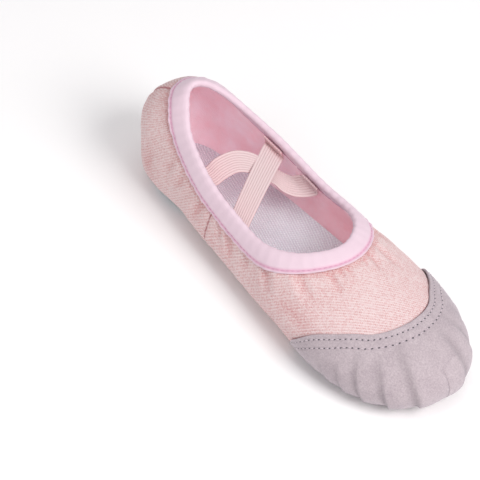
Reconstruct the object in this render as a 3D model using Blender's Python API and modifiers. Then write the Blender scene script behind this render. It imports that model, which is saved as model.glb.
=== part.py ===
"""Ballet shoe: a canvas slipper with a split suede sole, standing empty and unbent.

Units are metres. +X points to the toe and +Z up. The origin lies on the floor under the
middle of the shoe. The form is the shape of the last: a ridge and an underside over a plan
outline, read from a table of sections. Every piece is laid on it by the same functions.
"""
import bpy
import bmesh
import numpy as np

# Overall sizes of the shoe
LENGTH = 0.2000
BALL_WIDTH = 0.0720
RIDGE_HEIGHT = 0.0570
COLLAR_BELOW_RIDGE = 0.0030
ARCH_LIFT = 0.0030

# Thickness of each material, and the gap between two pieces that touch
CANVAS = 0.0015
CAP_SUEDE = 0.0010
PAD_SUEDE = 0.0018
INSOLE_FELT = 0.0015
TAPE = 0.0010
ELASTIC = 0.0010
TOUCH = 0.0004

# Rounding of the form's ends, as lengths along the shoe
HEEL_ROUND_PLAN = 0.0270
HEEL_ROUND_LOW = 0.0120
HEEL_ROUND_TOP = 0.0220
TOE_ROUND_PLAN = 0.0460
TOE_ROUND_LOW = 0.0180
TOE_ROUND_TOP = 0.0300
END_POWER = 2.2
UNDER_POWER = 2.6
TOP_POWER = 1.9
FLOOR_BLEND = 0.0015

# The line inside the form that its surface is measured from
SPINE_HEIGHT = 0.0150
SPINE_BACK = 0.0260
SPINE_TIP = 0.0360
SPINE_REACH = 0.1400
OBLIQUE = 0.4
EDGE_ROW = 0.15

# Pads of the split sole, and the openings of the upper above them
FRONT_PAD_LENGTH = 0.0720
FRONT_PAD_INSET = 0.0140
FRONT_PAD_MARGIN = 0.0085
FRONT_PAD_WIDEST = 0.55
HEEL_PAD_LENGTH = 0.0480
HEEL_PAD_INSET = 0.0075
HEEL_PAD_MARGIN = 0.0045
HEEL_PAD_WIDEST = 0.50
SEAM_ALLOWANCE = 0.0085

# Toe cap, throat binding, insole and elastics
CAP_LENGTH = 0.0610
CAP_BEHIND_PAD_END = 0.0200
PLEAT_DEPTH = 0.0010
PLEAT_WIDTH = 0.085
PLEAT_FOOT_HEIGHT = 0.35
PLEAT_FOOT_LIFT = 0.5
BINDING_OUTSIDE = 0.0090
BINDING_INSIDE = 0.0070
INSOLE_INSET = 0.0100
ELASTIC_WIDTH = 0.0100
ELASTIC_BACK = 0.0555
ELASTIC_FRONT = 0.0815
ELASTIC_SEWN = 0.0075
LOWER_SAG = 0.0060
UPPER_SAG = 0.0005

# Small steps of the measuring, and the angle past which an edge is shaded sharp
HALVINGS = 24
NORMAL_STEP = 0.0003
NEARLY_ALONG = 0.8
MERGE_DISTANCE = 0.00005
SHARP_ANGLE = np.radians(50)

# Numbers of rows in the meshes
ROUND_STEPS = 34
FINE_ROWS = 90
FINE_STEPS = 8
DOWN_STEPS = 22
CAP_STEPS = 23
CAP_ROWS = 15
PAD_STEPS = 36
ELASTIC_STEPS = 18
BAND_ROWS = 4
FOLD_STEPS = 4
PAD_RINGS = np.array((0.0, 0.45, 0.72, 0.88, 1.0))
INSOLE_STEPS = 28
INSOLE_ROWS = np.array((0.0, 0.4, 0.7, 0.87, 1.0))

# The form's sections from heel to toe. along is a share of the form's length, half_width of
# half the ball width, underside of the arch lift, widest_at and ridge of the ridge height.
SECTION_NAMES = ("along", "half_width", "underside", "widest_at", "ridge")
SECTIONS = np.array((
    (0.00, 0.67, -0.83, 0.32, 1.000),
    (0.12, 0.67, -0.83, 0.30, 0.965),
    (0.30, 0.76, 0.83, 0.28, 0.937),
    (0.45, 0.80, 1.00, 0.26, 0.807),
    (0.60, 0.93, -0.67, 0.245, 0.653),
    (0.72, 1.00, -1.00, 0.23, 0.575),
    (0.86, 0.955, -0.67, 0.20, 0.484),
    (1.00, 0.89, 0.67, 0.185, 0.404),
))

# The collar's height above the form's floor, as a share of the collar height at the back
COLLAR_NAMES = ("along", "height")
COLLAR = np.array((
    (0.00, 0.98),
    (0.08, 1.00),
    (0.20, 0.79),
    (0.36, 0.615),
    (0.50, 0.565),
    (0.62, 0.66),
    (0.72, 0.74),
))

# The toe cap's edge: turn is the angle from the top of the form round to the side, and back
# the distance behind the toe as a share of the cap's length
CAP_EDGE_NAMES = ("turn", "back")
CAP_EDGE = np.array((
    (0.0, 0.460),
    (22.0, 0.470),
    (40.0, 0.490),
    (49.0, 0.512),
    (58.0, 0.555),
    (65.0, 0.630),
    (72.0, 0.710),
    (80.0, 0.830),
    (97.0, 1.000),
))

# Folds gathered under the toe on each side. place is a share of the pad's edge from the
# toe's middle, reach a share of the cap's height, and lift a share of the pleat depth. Each
# keeps a share of its lift at the pad, up to a share of its reach
PLEAT_NAMES = ("place", "reach", "lift")
PLEATS = np.array((
    (0.09, 0.55, 0.90),
    (0.21, 0.60, 1.00),
    (0.33, 0.60, 1.00),
    (0.46, 0.55, 0.95),
    (0.60, 0.50, 0.80),
))

# The two elastics. near and far are the ends' distances from the heel, sag the slack, skew
# how far the slack hangs to the far side, and sewn the order of the far end's stitched points,
# as shares of the stitched length below the collar's edge
SEWN_DOWN = (0.25, 0.6, 1.0)
SEWN_UP = (1.0, 0.6, 0.25)
ELASTIC_NAMES = ("name", "near", "far", "sag", "skew", "sewn")
ELASTICS = (
    ("elastic_strap_lower", ELASTIC_BACK, ELASTIC_FRONT, LOWER_SAG, 2.0, SEWN_UP),
    ("elastic_strap_upper", ELASTIC_FRONT, ELASTIC_BACK, UPPER_SAG, 1.0, SEWN_DOWN),
)

# Places along the shoe and heights above its floor
COLLAR_HEIGHT = RIDGE_HEIGHT - COLLAR_BELOW_RIDGE
BACK_X = -LENGTH / 2
TIP_X = LENGTH / 2 - TOUCH - CAP_SUEDE
FORM_LENGTH = TIP_X - BACK_X
FLOOR = PAD_SUEDE + TOUCH
SPINE_START_X = BACK_X + SPINE_BACK
SPINE_END_X = TIP_X - SPINE_TIP
SPINE_Z = FLOOR + SPINE_HEIGHT


def column(table, names, name):
    """One named column of a table."""
    return table[:, names.index(name)]


def smooth_read(places, values, at):
    """Read a column between its rows along a smooth curve through them."""
    at = np.clip(at, places[0], places[-1])
    steps = np.diff(places)
    rises = np.diff(values) / steps
    slopes = np.empty(len(places))
    slopes[0] = rises[0]
    slopes[-1] = rises[-1]
    slopes[1:-1] = (rises[:-1] * steps[1:] + rises[1:] * steps[:-1]) / (steps[:-1] + steps[1:])
    i = np.clip(np.searchsorted(places, at) - 1, 0, len(steps) - 1)
    t = (at - places[i]) / steps[i]
    start = (2 * t**3 - 3 * t**2 + 1) * values[i] + (t**3 - 2 * t**2 + t) * steps[i] * slopes[i]
    end = (3 * t**2 - 2 * t**3) * values[i + 1] + (t**3 - t**2) * steps[i] * slopes[i + 1]
    return start + end


def section_value(name, x):
    """A column of the sections at a place along the shoe."""
    along = (x - BACK_X) / FORM_LENGTH
    return smooth_read(column(SECTIONS, SECTION_NAMES, "along"),
                       column(SECTIONS, SECTION_NAMES, name), along)


def end_rounding(x, heel, toe):
    """One along the middle of the form, falling to nothing in a round curve at its ends."""
    behind = np.clip((BACK_X + heel - x) / heel, 0, 1)
    ahead = np.clip((x - TIP_X + toe) / toe, 0, 1)
    return ((1 - behind**END_POWER) * (1 - ahead**END_POWER)) ** (1 / END_POWER)


def section(x):
    """Half width, underside, widest height and ridge of the form at x, above its floor."""
    half = section_value("half_width", x) * BALL_WIDTH / 2
    half = half * end_rounding(x, HEEL_ROUND_PLAN, TOE_ROUND_PLAN)
    widest = section_value("widest_at", x) * RIDGE_HEIGHT
    under = section_value("underside", x) * ARCH_LIFT
    under = widest - (widest - under) * end_rounding(x, HEEL_ROUND_LOW, TOE_ROUND_LOW)
    ridge = section_value("ridge", x) * RIDGE_HEIGHT
    ridge = widest + (ridge - widest) * end_rounding(x, HEEL_ROUND_TOP, TOE_ROUND_TOP)
    return half, under, widest, ridge


def bulge(share, power):
    """Height of a rounded section at a share of its half width."""
    return (1 - np.clip(share, 0, 1) ** power) ** (1 / power)


def under_height(x, y):
    """The form's underside, flat where it would dip through the floor."""
    half, under, widest, _ = section(x)
    share = np.abs(y) / np.maximum(half, 1e-9)
    height = widest - (widest - under) * bulge(share, UNDER_POWER)
    t = height / FLOOR_BLEND
    lifted = np.where(t > 1, t, (np.clip(t, -1, 1) + 1) ** 2 / 4)
    return FLOOR + FLOOR_BLEND * lifted


def top_height(x, y):
    """The form's upper side, closed over the throat."""
    half, _, widest, ridge = section(x)
    share = np.abs(y) / np.maximum(half, 1e-9)
    return FLOOR + widest + (ridge - widest) * bulge(share, TOP_POWER)


def inside_form(points):
    """Which points lie inside the form."""
    x = np.clip(points[..., 0], BACK_X, TIP_X)
    y = points[..., 1]
    z = points[..., 2]
    within = (np.abs(y) < section(x)[0]) & (x == points[..., 0])
    return within & (z < top_height(x, y)) & (z > under_height(x, y))


def skin(origins, directions):
    """Where rays from inside the form meet its surface."""
    near = np.zeros(origins.shape[:-1])
    far = np.full(origins.shape[:-1], SPINE_REACH)
    for _ in range(HALVINGS):
        middle = (near + far) / 2
        within = inside_form(origins + directions * middle[..., None])
        near = np.where(within, middle, near)
        far = np.where(within, far, middle)
    return origins + directions * ((near + far) / 2)[..., None]


def unit(vectors):
    return vectors / np.linalg.norm(vectors, axis=-1, keepdims=True)


def turn_between(first, second, share):
    """Turn one direction into another."""
    dot = np.clip((first * second).sum(-1), -1, 1)
    angle = np.maximum(np.arccos(dot), 1e-6)
    start = np.sin((1 - share) * angle) / np.sin(angle)
    end = np.sin(share * angle) / np.sin(angle)
    return start[..., None] * first + end[..., None] * second


def on_spine(x):
    """Points on the spine at the given places along the shoe."""
    return np.stack([x, 0 * x, 0 * x + SPINE_Z], -1)


def collar_height(x):
    along = (x - BACK_X) / FORM_LENGTH
    share = smooth_read(column(COLLAR, COLLAR_NAMES, "along"),
                        column(COLLAR, COLLAR_NAMES, "height"), along)
    return share * COLLAR_HEIGHT


def collar_crossing(low_side, high_side):
    """Where the ridge passes the collar's height, between a place below and one above it."""
    for _ in range(HALVINGS):
        middle = (low_side + high_side) / 2
        ridge = section(np.array(middle))[3]
        if ridge > collar_height(np.array(middle)):
            high_side = middle
        else:
            low_side = middle
    return (low_side + high_side) / 2


def collar_line(steps):
    """The collar's edge on the shoe's left half, from the heel round to the throat's front."""
    back = collar_crossing(BACK_X, BACK_X + HEEL_ROUND_TOP)
    front = collar_crossing(TIP_X - TOE_ROUND_TOP, BACK_X + FORM_LENGTH / 2)
    turn = np.linspace(0, np.pi, steps)
    x = (back + front) / 2 - (front - back) / 2 * np.cos(turn)
    z = collar_height(x)
    half, _, widest, ridge = section(x)
    y = half * bulge((z - widest) / (ridge - widest), TOP_POWER)
    y[0] = 0
    y[-1] = 0
    return np.stack([x, y, FLOOR + z], -1), turn


def spread_rows(grid, rows):
    """Fewer rows from a fine grid, closer together at its edge and where its lines bend over."""
    steps = np.diff(grid, axis=1)
    lengths = np.linalg.norm(steps, axis=-1)
    slopes = np.arcsin(np.clip(steps[..., 2] / lengths, -1, 1))
    bends = np.zeros_like(lengths)
    bends[:, 1:] = np.abs(np.diff(slopes, axis=1))
    share = lengths / lengths.sum(1, keepdims=True) + bends / bends.sum(1, keepdims=True)
    runs = np.concatenate([[0], np.cumsum(share.mean(0))])
    at = np.linspace(0, runs[-1], rows - 1)
    at = np.insert(at, 1, EDGE_ROW * at[1])
    out = np.empty((len(grid), rows, 3))
    for i in range(len(grid)):
        for axis in range(3):
            out[i, :, axis] = np.interp(at, runs, grid[i, :, axis])
    return out


def wall_grid(steps, rows):
    """The left half of the upper's outside: steps round the shoe, rows down to the middle."""
    collar, turn = collar_line(steps)
    start_x = np.maximum(collar[:, 0], SPINE_START_X)
    end_x = SPINE_START_X + (SPINE_END_X - SPINE_START_X) * turn / np.pi
    upward = unit(collar - on_spine(start_x))
    outward = np.stack([-np.cos(turn), np.sin(turn), 0 * turn], -1)
    down = np.zeros_like(outward)
    down[:, 2] = -1
    grid = []
    for share in np.linspace(0, 2, FINE_ROWS):
        if share < 1:
            origin = on_spine(start_x + share * OBLIQUE * (end_x - start_x))
            direction = turn_between(upward, outward, share)
        else:
            late = OBLIQUE + (1 - OBLIQUE) * (share - 1)
            origin = on_spine(start_x + late * (end_x - start_x))
            direction = turn_between(outward, down, share - 1)
        grid.append(skin(origin, unit(direction)))
    grid = np.stack(grid, 1)
    grid[:, 0] = collar
    grid[0, :, 1] = 0
    grid[-1, :, 1] = 0
    grid[:, -1, 1] = 0
    return spread_rows(grid, rows)


def on_form(points):
    """The form's surface beside the given points, seen from the spine."""
    origin = on_spine(np.clip(points[..., 0], SPINE_START_X, SPINE_END_X))
    return skin(origin, unit(points - origin))


def form_normal(points):
    """Outward direction of the form's surface at points on it."""
    origin = on_spine(np.clip(points[..., 0], SPINE_START_X, SPINE_END_X))
    outward = unit(points - origin)
    along = np.zeros_like(points)
    along[..., 0] = 1
    endways = np.abs(outward[..., 0:1]) > NEARLY_ALONG
    along = np.where(endways, np.array([0.0, 1.0, 0.0]), along)
    first = unit(np.cross(outward, along)) * NORMAL_STEP
    second = unit(np.cross(outward, first)) * NORMAL_STEP
    across = on_form(points + first) - on_form(points - first)
    over = on_form(points + second) - on_form(points - second)
    normal = unit(np.cross(across, over))
    return normal * np.sign((normal * outward).sum(-1, keepdims=True))


def collar_band(steps, distances):
    """Points and normals at distances below the collar's edge, square to that edge."""
    points = collar_line(steps)[0]
    flip = np.array([1, -1, 1])
    bases = [points]
    normals = [form_normal(points)]
    for step in np.diff(distances):
        whole = np.concatenate([points[1:2] * flip, points, points[-2:-1] * flip])
        along = unit(np.gradient(whole, axis=0)[1:-1])
        downward = unit(np.cross(along, normals[-1]))
        downward = downward * -np.sign(downward[..., 2:3])
        points = on_form(points + downward * step)
        points[0, 1] = 0
        points[-1, 1] = 0
        bases.append(points)
        normals.append(form_normal(points))
    return np.stack(bases, 1), np.stack(normals, 1)


def pad_outline(length, front_x, widest_share, margin, steps, grow=0.0):
    """Left half of an egg-shaped pad's outline, from its front end to its rear end."""
    widest_x = front_x - length * (1 - widest_share)
    half = section(np.array(widest_x))[0] - margin + grow
    turn = np.linspace(0, np.pi, steps)
    ahead = length * (1 - widest_share) + grow
    behind = length * widest_share + grow
    reach = np.where(np.cos(turn) > 0, ahead, behind)
    outline = np.stack([widest_x + reach * np.cos(turn), half * np.sin(turn)], -1)
    outline[0, 1] = 0
    outline[-1, 1] = 0
    return outline


def front_outline(steps, grow=0.0):
    return pad_outline(FRONT_PAD_LENGTH, TIP_X - FRONT_PAD_INSET, FRONT_PAD_WIDEST,
                       FRONT_PAD_MARGIN, steps, grow)


def heel_outline(steps, grow=0.0):
    return pad_outline(HEEL_PAD_LENGTH, BACK_X + HEEL_PAD_INSET + HEEL_PAD_LENGTH,
                       HEEL_PAD_WIDEST, HEEL_PAD_MARGIN, steps, grow)


def resample(points, steps):
    """Points at equal distances along a line of points."""
    runs = np.concatenate([[0], np.cumsum(np.linalg.norm(np.diff(points, axis=0), axis=-1))])
    at = np.linspace(0, runs[-1], steps)
    return np.stack([np.interp(at, runs, points[:, axis]) for axis in range(points.shape[1])], -1)


def make_collection(name):
    collection = bpy.data.collections.new(name)
    bpy.context.scene.collection.children.link(collection)
    return collection


def make_material(name, colour, roughness):
    material = bpy.data.materials.new(name)
    material.use_nodes = True
    shader = material.node_tree.nodes["Principled BSDF"]
    shader.inputs["Base Color"].default_value = (*colour, 1)
    shader.inputs["Roughness"].default_value = roughness
    shader.inputs["Metallic"].default_value = 0.0
    return material


def make_object(name, bm, collection, material=None):
    """A named object from a bmesh, shaded smooth but for its sharp edges."""
    mesh = bpy.data.meshes.new(name)
    bm.normal_update()
    bm.to_mesh(mesh)
    bm.free()
    piece = bpy.data.objects.new(name, mesh)
    collection.objects.link(piece)
    if material:
        mesh.materials.append(material)
        mesh.shade_smooth()
        mesh.set_sharp_from_angle(angle=SHARP_ANGLE)
    return piece


def sheet_mesh(grid):
    """Faces between neighbouring rows of a grid of points."""
    bm = bmesh.new()
    rows = [[bm.verts.new(point) for point in line] for line in grid]
    for line, following in zip(rows[:-1], rows[1:]):
        for i in range(len(line) - 1):
            bm.faces.new((line[i], following[i], following[i + 1], line[i + 1]))
    return bm


def add_mirror(piece):
    mirror = piece.modifiers.new("left_and_right", "MIRROR")
    mirror.use_axis = (False, True, False)
    mirror.use_mirror_merge = True
    mirror.merge_threshold = MERGE_DISTANCE


def add_wall(piece, thickness, side, lift=0.0):
    """Thicken an open sheet: side 1 outward, -1 inward, 0 both ways; lift moves it outward."""
    if lift:
        displace = piece.modifiers.new("lift", "DISPLACE")
        displace.strength = lift
        displace.mid_level = 0.0
    solidify = piece.modifiers.new("wall", "SOLIDIFY")
    solidify.thickness = thickness
    solidify.offset = side
    solidify.use_even_offset = True


def whole_outline(outline):
    """Both halves of an outline as one closed loop."""
    other = outline[-2:0:-1] * np.array([1, -1])
    return np.concatenate([outline, other])


def add_opening(piece, name, outline, cutters):
    """Cut an opening through the upper's bottom."""
    depth = CANVAS + FLOOR
    bm = bmesh.new()
    loop = [bm.verts.new((x, y, 0)) for x, y in whole_outline(outline)]
    base = bm.faces.new(loop)
    top = bmesh.ops.extrude_face_region(bm, geom=[base])
    lifted = [item for item in top["geom"] if isinstance(item, bmesh.types.BMVert)]
    bmesh.ops.translate(bm, vec=(0, 0, 2 * depth), verts=lifted)
    bmesh.ops.recalc_face_normals(bm, faces=bm.faces)
    cutter = make_object(name, bm, cutters)
    cutter.hide_render = True
    cutter.display_type = "WIRE"
    cut = piece.modifiers.new(name, "BOOLEAN")
    cut.operation = "DIFFERENCE"
    cut.solver = "EXACT"
    cut.object = cutter


def build_upper(parts, cutters):
    """The canvas upper, one hollow wall drawn in under the arch."""
    canvas = make_material("pink_canvas", (0.85, 0.52, 0.48), 0.90)
    piece = make_object("upper", sheet_mesh(wall_grid(ROUND_STEPS, DOWN_STEPS)), parts, canvas)
    add_mirror(piece)
    add_wall(piece, CANVAS, -1)
    add_opening(piece, "front_opening", front_outline(PAD_STEPS // 2, -SEAM_ALLOWANCE), cutters)
    add_opening(piece, "heel_opening", heel_outline(PAD_STEPS // 2, -SEAM_ALLOWANCE), cutters)


def cap_top_edge(steps):
    """The cap's edge over the vamp, from the middle of the top down to the side."""
    turns = column(CAP_EDGE, CAP_EDGE_NAMES, "turn")
    turn = np.linspace(turns[0], turns[-1], FINE_STEPS * steps)
    back = smooth_read(turns, column(CAP_EDGE, CAP_EDGE_NAMES, "back"), turn)
    angle = np.radians(turn)
    origin = on_spine(TIP_X - back * CAP_LENGTH)
    direction = np.stack([0 * angle, np.sin(angle), np.cos(angle)], -1)
    edge = resample(skin(origin, direction), steps)
    edge[0, 1] = 0
    return edge


def cap_pad_edge(steps):
    """The cap's edge along the front pad, from the toe's middle back to the cap's corner."""
    outline = front_outline(FINE_STEPS * steps, TOUCH)
    corner_x = outline[-1, 0] + CAP_BEHIND_PAD_END
    outline = resample(outline[outline[:, 0] >= corner_x], steps)
    return np.column_stack([outline, under_height(outline[:, 0], outline[:, 1])])


def pleat_lift(places, heights):
    """Lift of the gathered folds at places along the pad's edge and heights up the cap."""
    lift = np.zeros((len(places), len(heights)))
    for values in PLEATS:
        pleat = dict(zip(PLEAT_NAMES, values))
        ramp = 1 + (places - pleat["place"]) / PLEAT_WIDTH
        across = np.where((ramp > 0) & (places <= pleat["place"]), ramp, 0)
        rise = np.clip(1 - heights / pleat["reach"], 0, 1)
        foot = np.clip(heights / (PLEAT_FOOT_HEIGHT * pleat["reach"]), 0, 1)
        up = rise**2 * (3 - 2 * rise) * (PLEAT_FOOT_LIFT + (1 - PLEAT_FOOT_LIFT) * foot)
        lift = np.maximum(lift, pleat["lift"] * across[:, None] * up[None, :])
    return lift * PLEAT_DEPTH


def build_toe_cap(parts):
    """The suede toe cap over the canvas, gathered in folds against the front pad."""
    suede = make_material("mauve_suede", (0.42, 0.33, 0.36), 0.95)
    top_edge = cap_top_edge(CAP_STEPS)
    pad_edge = cap_pad_edge(CAP_STEPS)
    top_origin = on_spine(np.minimum(top_edge[:, 0], SPINE_END_X))
    pad_origin = on_spine(np.minimum(pad_edge[:, 0], SPINE_END_X))
    to_top = unit(top_edge - top_origin)
    to_pad = unit(pad_edge - pad_origin)
    rows = []
    for share in np.linspace(0, 1, FINE_ROWS):
        origin = (1 - share) * top_origin + share * pad_origin
        rows.append(skin(origin, unit(turn_between(to_top, to_pad, share))))
    grid = np.stack(rows, 1)
    grid[:, 0] = top_edge
    grid[:, -1] = pad_edge
    grid[0, :, 1] = 0
    grid = spread_rows(grid, CAP_ROWS)
    places = np.linspace(0, 1, CAP_STEPS)
    heights = 1 - np.linspace(0, 1, CAP_ROWS)
    outward = unit(grid - top_origin[:, None])
    grid = grid + outward * pleat_lift(places, heights)[..., None]
    grid[0, :, 1] = 0
    piece = make_object("toe_cap", sheet_mesh(grid[::-1]), parts, suede)
    add_mirror(piece)
    add_wall(piece, CAP_SUEDE, 1, TOUCH)


def pad_top(x, y):
    """A pad's upper face, kept clear of the form however steep it is."""
    along = under_height(x + NORMAL_STEP, y) - under_height(x - NORMAL_STEP, y)
    across = under_height(x, y + NORMAL_STEP) - under_height(x, y - NORMAL_STEP)
    steepness = np.hypot(along, across) / (2 * NORMAL_STEP)
    return under_height(x, y) - TOUCH * np.hypot(1, steepness)


def build_pad(name, outline, parts, suede):
    """One suede pad of the split sole, level underneath where the form is flat."""
    loop = whole_outline(outline)
    centre = np.array([(outline[0, 0] + outline[-1, 0]) / 2, 0])
    bm = bmesh.new()
    middle = bm.verts.new((centre[0], 0, pad_top(centre[0], 0.0)))
    circles = []
    for share in PAD_RINGS[1:]:
        points = centre + (loop - centre) * share
        heights = pad_top(points[:, 0], points[:, 1])
        circles.append([bm.verts.new((x, y, z)) for (x, y), z in zip(points, heights)])
    count = len(loop)
    for i in range(count):
        j = (i + 1) % count
        bm.faces.new((middle, circles[0][i], circles[0][j]))
        for inner, outer in zip(circles[:-1], circles[1:]):
            bm.faces.new((inner[i], outer[i], outer[j], inner[j]))
    lower = bmesh.ops.extrude_face_region(bm, geom=list(bm.faces))
    moved = [item for item in lower["geom"] if isinstance(item, bmesh.types.BMVert)]
    bmesh.ops.translate(bm, vec=(0, 0, -PAD_SUEDE), verts=moved)
    bmesh.ops.recalc_face_normals(bm, faces=bm.faces)
    make_object(name, bm, parts, suede)


def build_soles(parts):
    """The two suede pads of the split sole."""
    suede = make_material("grey_suede", (0.50, 0.55, 0.60), 0.95)
    build_pad("sole_front", front_outline(PAD_STEPS // 2 + 1), parts, suede)
    build_pad("sole_heel", heel_outline(PAD_STEPS // 2 - 3), parts, suede)


def build_insole(parts):
    """The knit-covered insole inside the upper."""
    knit = make_material("lilac_knit", (0.80, 0.76, 0.82), 0.90)
    reach = INSOLE_INSET + CANVAS
    share = (1 - np.cos(np.linspace(0, np.pi, INSOLE_STEPS))) / 2
    x = BACK_X + reach + (FORM_LENGTH - 2 * reach) * share
    half = np.maximum(section(x)[0] - INSOLE_INSET, 0)
    y = half[:, None] * INSOLE_ROWS[None, :]
    x = x[:, None] + 0 * y
    grid = np.stack([x, y, under_height(x, y)], -1)
    piece = make_object("insole", sheet_mesh(grid[::-1]), parts, knit)
    add_mirror(piece)
    add_wall(piece, INSOLE_FELT, -1, -(CANVAS + TOUCH))


def build_binding(parts):
    """The tape folded over the collar's edge."""
    tape = make_material("lilac_tape", (0.86, 0.70, 0.78), 0.60)
    outside = np.linspace(BINDING_OUTSIDE, 0, BAND_ROWS)[:-1]
    inside = np.linspace(0, BINDING_INSIDE, BAND_ROWS - 1)[1:]
    distances = np.unique(np.concatenate([[0], outside, inside]))
    bases, normals = collar_band(ROUND_STEPS, distances)
    off = TOUCH + TAPE / 2
    radius = CANVAS / 2 + off
    up = unit(bases[:, 0] - bases[:, 1])
    lines = []
    for row in np.searchsorted(distances, outside):
        lines.append(bases[:, row] + normals[:, row] * off)
    for turn in np.linspace(0, np.pi, FOLD_STEPS):
        middle = bases[:, 0] - normals[:, 0] * CANVAS / 2
        lines.append(middle + radius * (up * np.sin(turn) + normals[:, 0] * np.cos(turn)))
    for row in np.searchsorted(distances, inside):
        lines.append(bases[:, row] - normals[:, row] * (CANVAS + off))
    strip = np.stack(lines, 1)
    strip[0, :, 1] = 0
    strip[-1, :, 1] = 0
    piece = make_object("throat_binding", sheet_mesh(strip[:, ::-1]), parts, tape)
    add_mirror(piece)
    add_wall(piece, TAPE, 0)


def inner_wall(x, below, inset, side):
    """A point inside the upper at x, below the collar's edge and in from the outside."""
    half, _, widest, ridge = section(np.array(x))
    z = np.linspace(collar_height(np.array(x)), widest, FINE_ROWS)
    y = half * bulge((z - widest) / (ridge - widest), TOP_POWER)
    runs = np.concatenate([[0], np.cumsum(np.hypot(np.diff(y), np.diff(z)))])
    slope_y = np.interp(below, runs, np.gradient(y, runs))
    slope_z = np.interp(below, runs, np.gradient(z, runs))
    out_y = -slope_z / np.hypot(slope_y, slope_z)
    out_z = slope_y / np.hypot(slope_y, slope_z)
    point_y = np.interp(below, runs, y) - inset * out_y
    point_z = np.interp(below, runs, z) - inset * out_z
    return np.array([x, side * point_y, FLOOR + point_z])


def build_elastic(row, parts, material):
    """A flat elastic sewn inside the binding at both sides of the throat."""
    inset = CANVAS + 2 * TOUCH + TAPE + ELASTIC / 2
    span = abs(row["far"] - row["near"])
    width = 2 * section(np.array(BACK_X + (row["near"] + row["far"]) / 2))[0]
    skew = row["skew"]
    peak = skew / (skew + 1)
    rim_width = ELASTIC_WIDTH * np.hypot(span, width) / width
    edges = []
    for shift in (-rim_width / 2, 0, rim_width / 2):
        near_x = BACK_X + row["near"] + shift
        far_x = BACK_X + row["far"] + shift
        near = [inner_wall(near_x, ELASTIC_SEWN * share, inset, -1) for share in SEWN_UP]
        far = [inner_wall(far_x, ELASTIC_SEWN * share, inset, 1) for share in row["sewn"]]
        line = list(near)
        for t in np.linspace(0, 1, ELASTIC_STEPS)[1:-1]:
            slack = t**skew * (1 - t) / (peak**skew * (1 - peak))
            point = (1 - t) * near[-1] + t * far[0]
            line.append(point - np.array([0, 0, row["sag"] * slack]))
        line += far
        edges.append(line)
    grid = np.stack(edges, 1)
    piece = make_object(row["name"], sheet_mesh(grid), parts, material)
    add_wall(piece, ELASTIC, 0)


def build_elastics(parts):
    """The two elastics crossing over the instep."""
    elastic = make_material("pink_elastic", (0.88, 0.62, 0.60), 0.70)
    for values in ELASTICS:
        build_elastic(dict(zip(ELASTIC_NAMES, values)), parts, elastic)


for old in list(bpy.data.objects):
    bpy.data.objects.remove(old, do_unlink=True)

shoe = make_collection("ballet_shoe")
cutting = make_collection("cutters")
build_upper(shoe, cutting)
build_toe_cap(shoe)
build_soles(shoe)
build_insole(shoe)
build_binding(shoe)
build_elastics(shoe)
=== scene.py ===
"""A child's canvas ballet slipper: the cloth, suede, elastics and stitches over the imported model.

Units are metres. +X points to the toe and +Z up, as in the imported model.
"""

import bpy
import bmesh
import numpy as np
from mathutils import Matrix


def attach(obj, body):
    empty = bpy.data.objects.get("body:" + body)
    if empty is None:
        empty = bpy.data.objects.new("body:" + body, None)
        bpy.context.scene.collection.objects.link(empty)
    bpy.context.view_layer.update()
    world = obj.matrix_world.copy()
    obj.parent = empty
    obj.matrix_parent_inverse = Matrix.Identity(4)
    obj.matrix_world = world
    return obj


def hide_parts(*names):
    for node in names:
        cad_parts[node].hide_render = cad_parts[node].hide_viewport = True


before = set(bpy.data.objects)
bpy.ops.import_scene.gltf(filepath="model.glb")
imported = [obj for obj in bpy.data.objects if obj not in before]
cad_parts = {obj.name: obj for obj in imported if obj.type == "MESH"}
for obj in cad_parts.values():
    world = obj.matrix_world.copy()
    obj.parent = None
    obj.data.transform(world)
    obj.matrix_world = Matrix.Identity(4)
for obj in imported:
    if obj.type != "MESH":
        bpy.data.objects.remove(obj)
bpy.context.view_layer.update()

# The canvas upper: two layers of pink cotton canvas, cut in a vamp and two quarters and sewn
# together on the inside, then turned over a last. Its form is that last's: a ridge and an
# underside over a plan outline, read from sections. It is closed under the arch by a seam.
LENGTH = 0.2000
BALL_WIDTH = 0.0720
RIDGE_HEIGHT = 0.0570
COLLAR_HEIGHT = 0.0540
ARCH_LIFT = 0.0030
CANVAS = 0.0015
CAP_SUEDE = 0.0010
PAD_SUEDE = 0.0018
TOUCH = 0.0004
HEEL_ROUNDS = {"plan": 0.0270, "low": 0.0120, "top": 0.0220}
TOE_ROUNDS = {"plan": 0.0460, "low": 0.0180, "top": 0.0300}
END_POWER = 2.2
UNDER_POWER = 2.6
TOP_POWER = 1.9
FLOOR_BLEND = 0.0015
SECTION_NAMES = ("along", "half_width", "underside", "widest_at", "ridge")
SECTIONS = np.array((
    (0.00, 0.67, -0.83, 0.32, 1.000),
    (0.12, 0.67, -0.83, 0.30, 0.965),
    (0.30, 0.76, 0.83, 0.28, 0.937),
    (0.45, 0.80, 1.00, 0.26, 0.807),
    (0.60, 0.93, -0.67, 0.245, 0.653),
    (0.72, 1.00, -1.00, 0.23, 0.575),
    (0.86, 0.955, -0.67, 0.20, 0.484),
    (1.00, 0.89, 0.67, 0.185, 0.404),
))
COLLAR_NAMES = ("along", "height")
COLLAR = np.array((
    (0.00, 0.98),
    (0.08, 1.00),
    (0.20, 0.79),
    (0.36, 0.615),
    (0.50, 0.565),
    (0.62, 0.66),
    (0.72, 0.74),
))
BACK_X = -LENGTH / 2
TIP_X = LENGTH / 2 - TOUCH - CAP_SUEDE
FORM_LENGTH = TIP_X - BACK_X
FLOOR = PAD_SUEDE + TOUCH
SPINE_START_X = BACK_X + 0.0260
SPINE_END_X = TIP_X - 0.0360
SPINE_Z = FLOOR + 0.0150
SPINE_REACH = 0.1400
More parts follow.
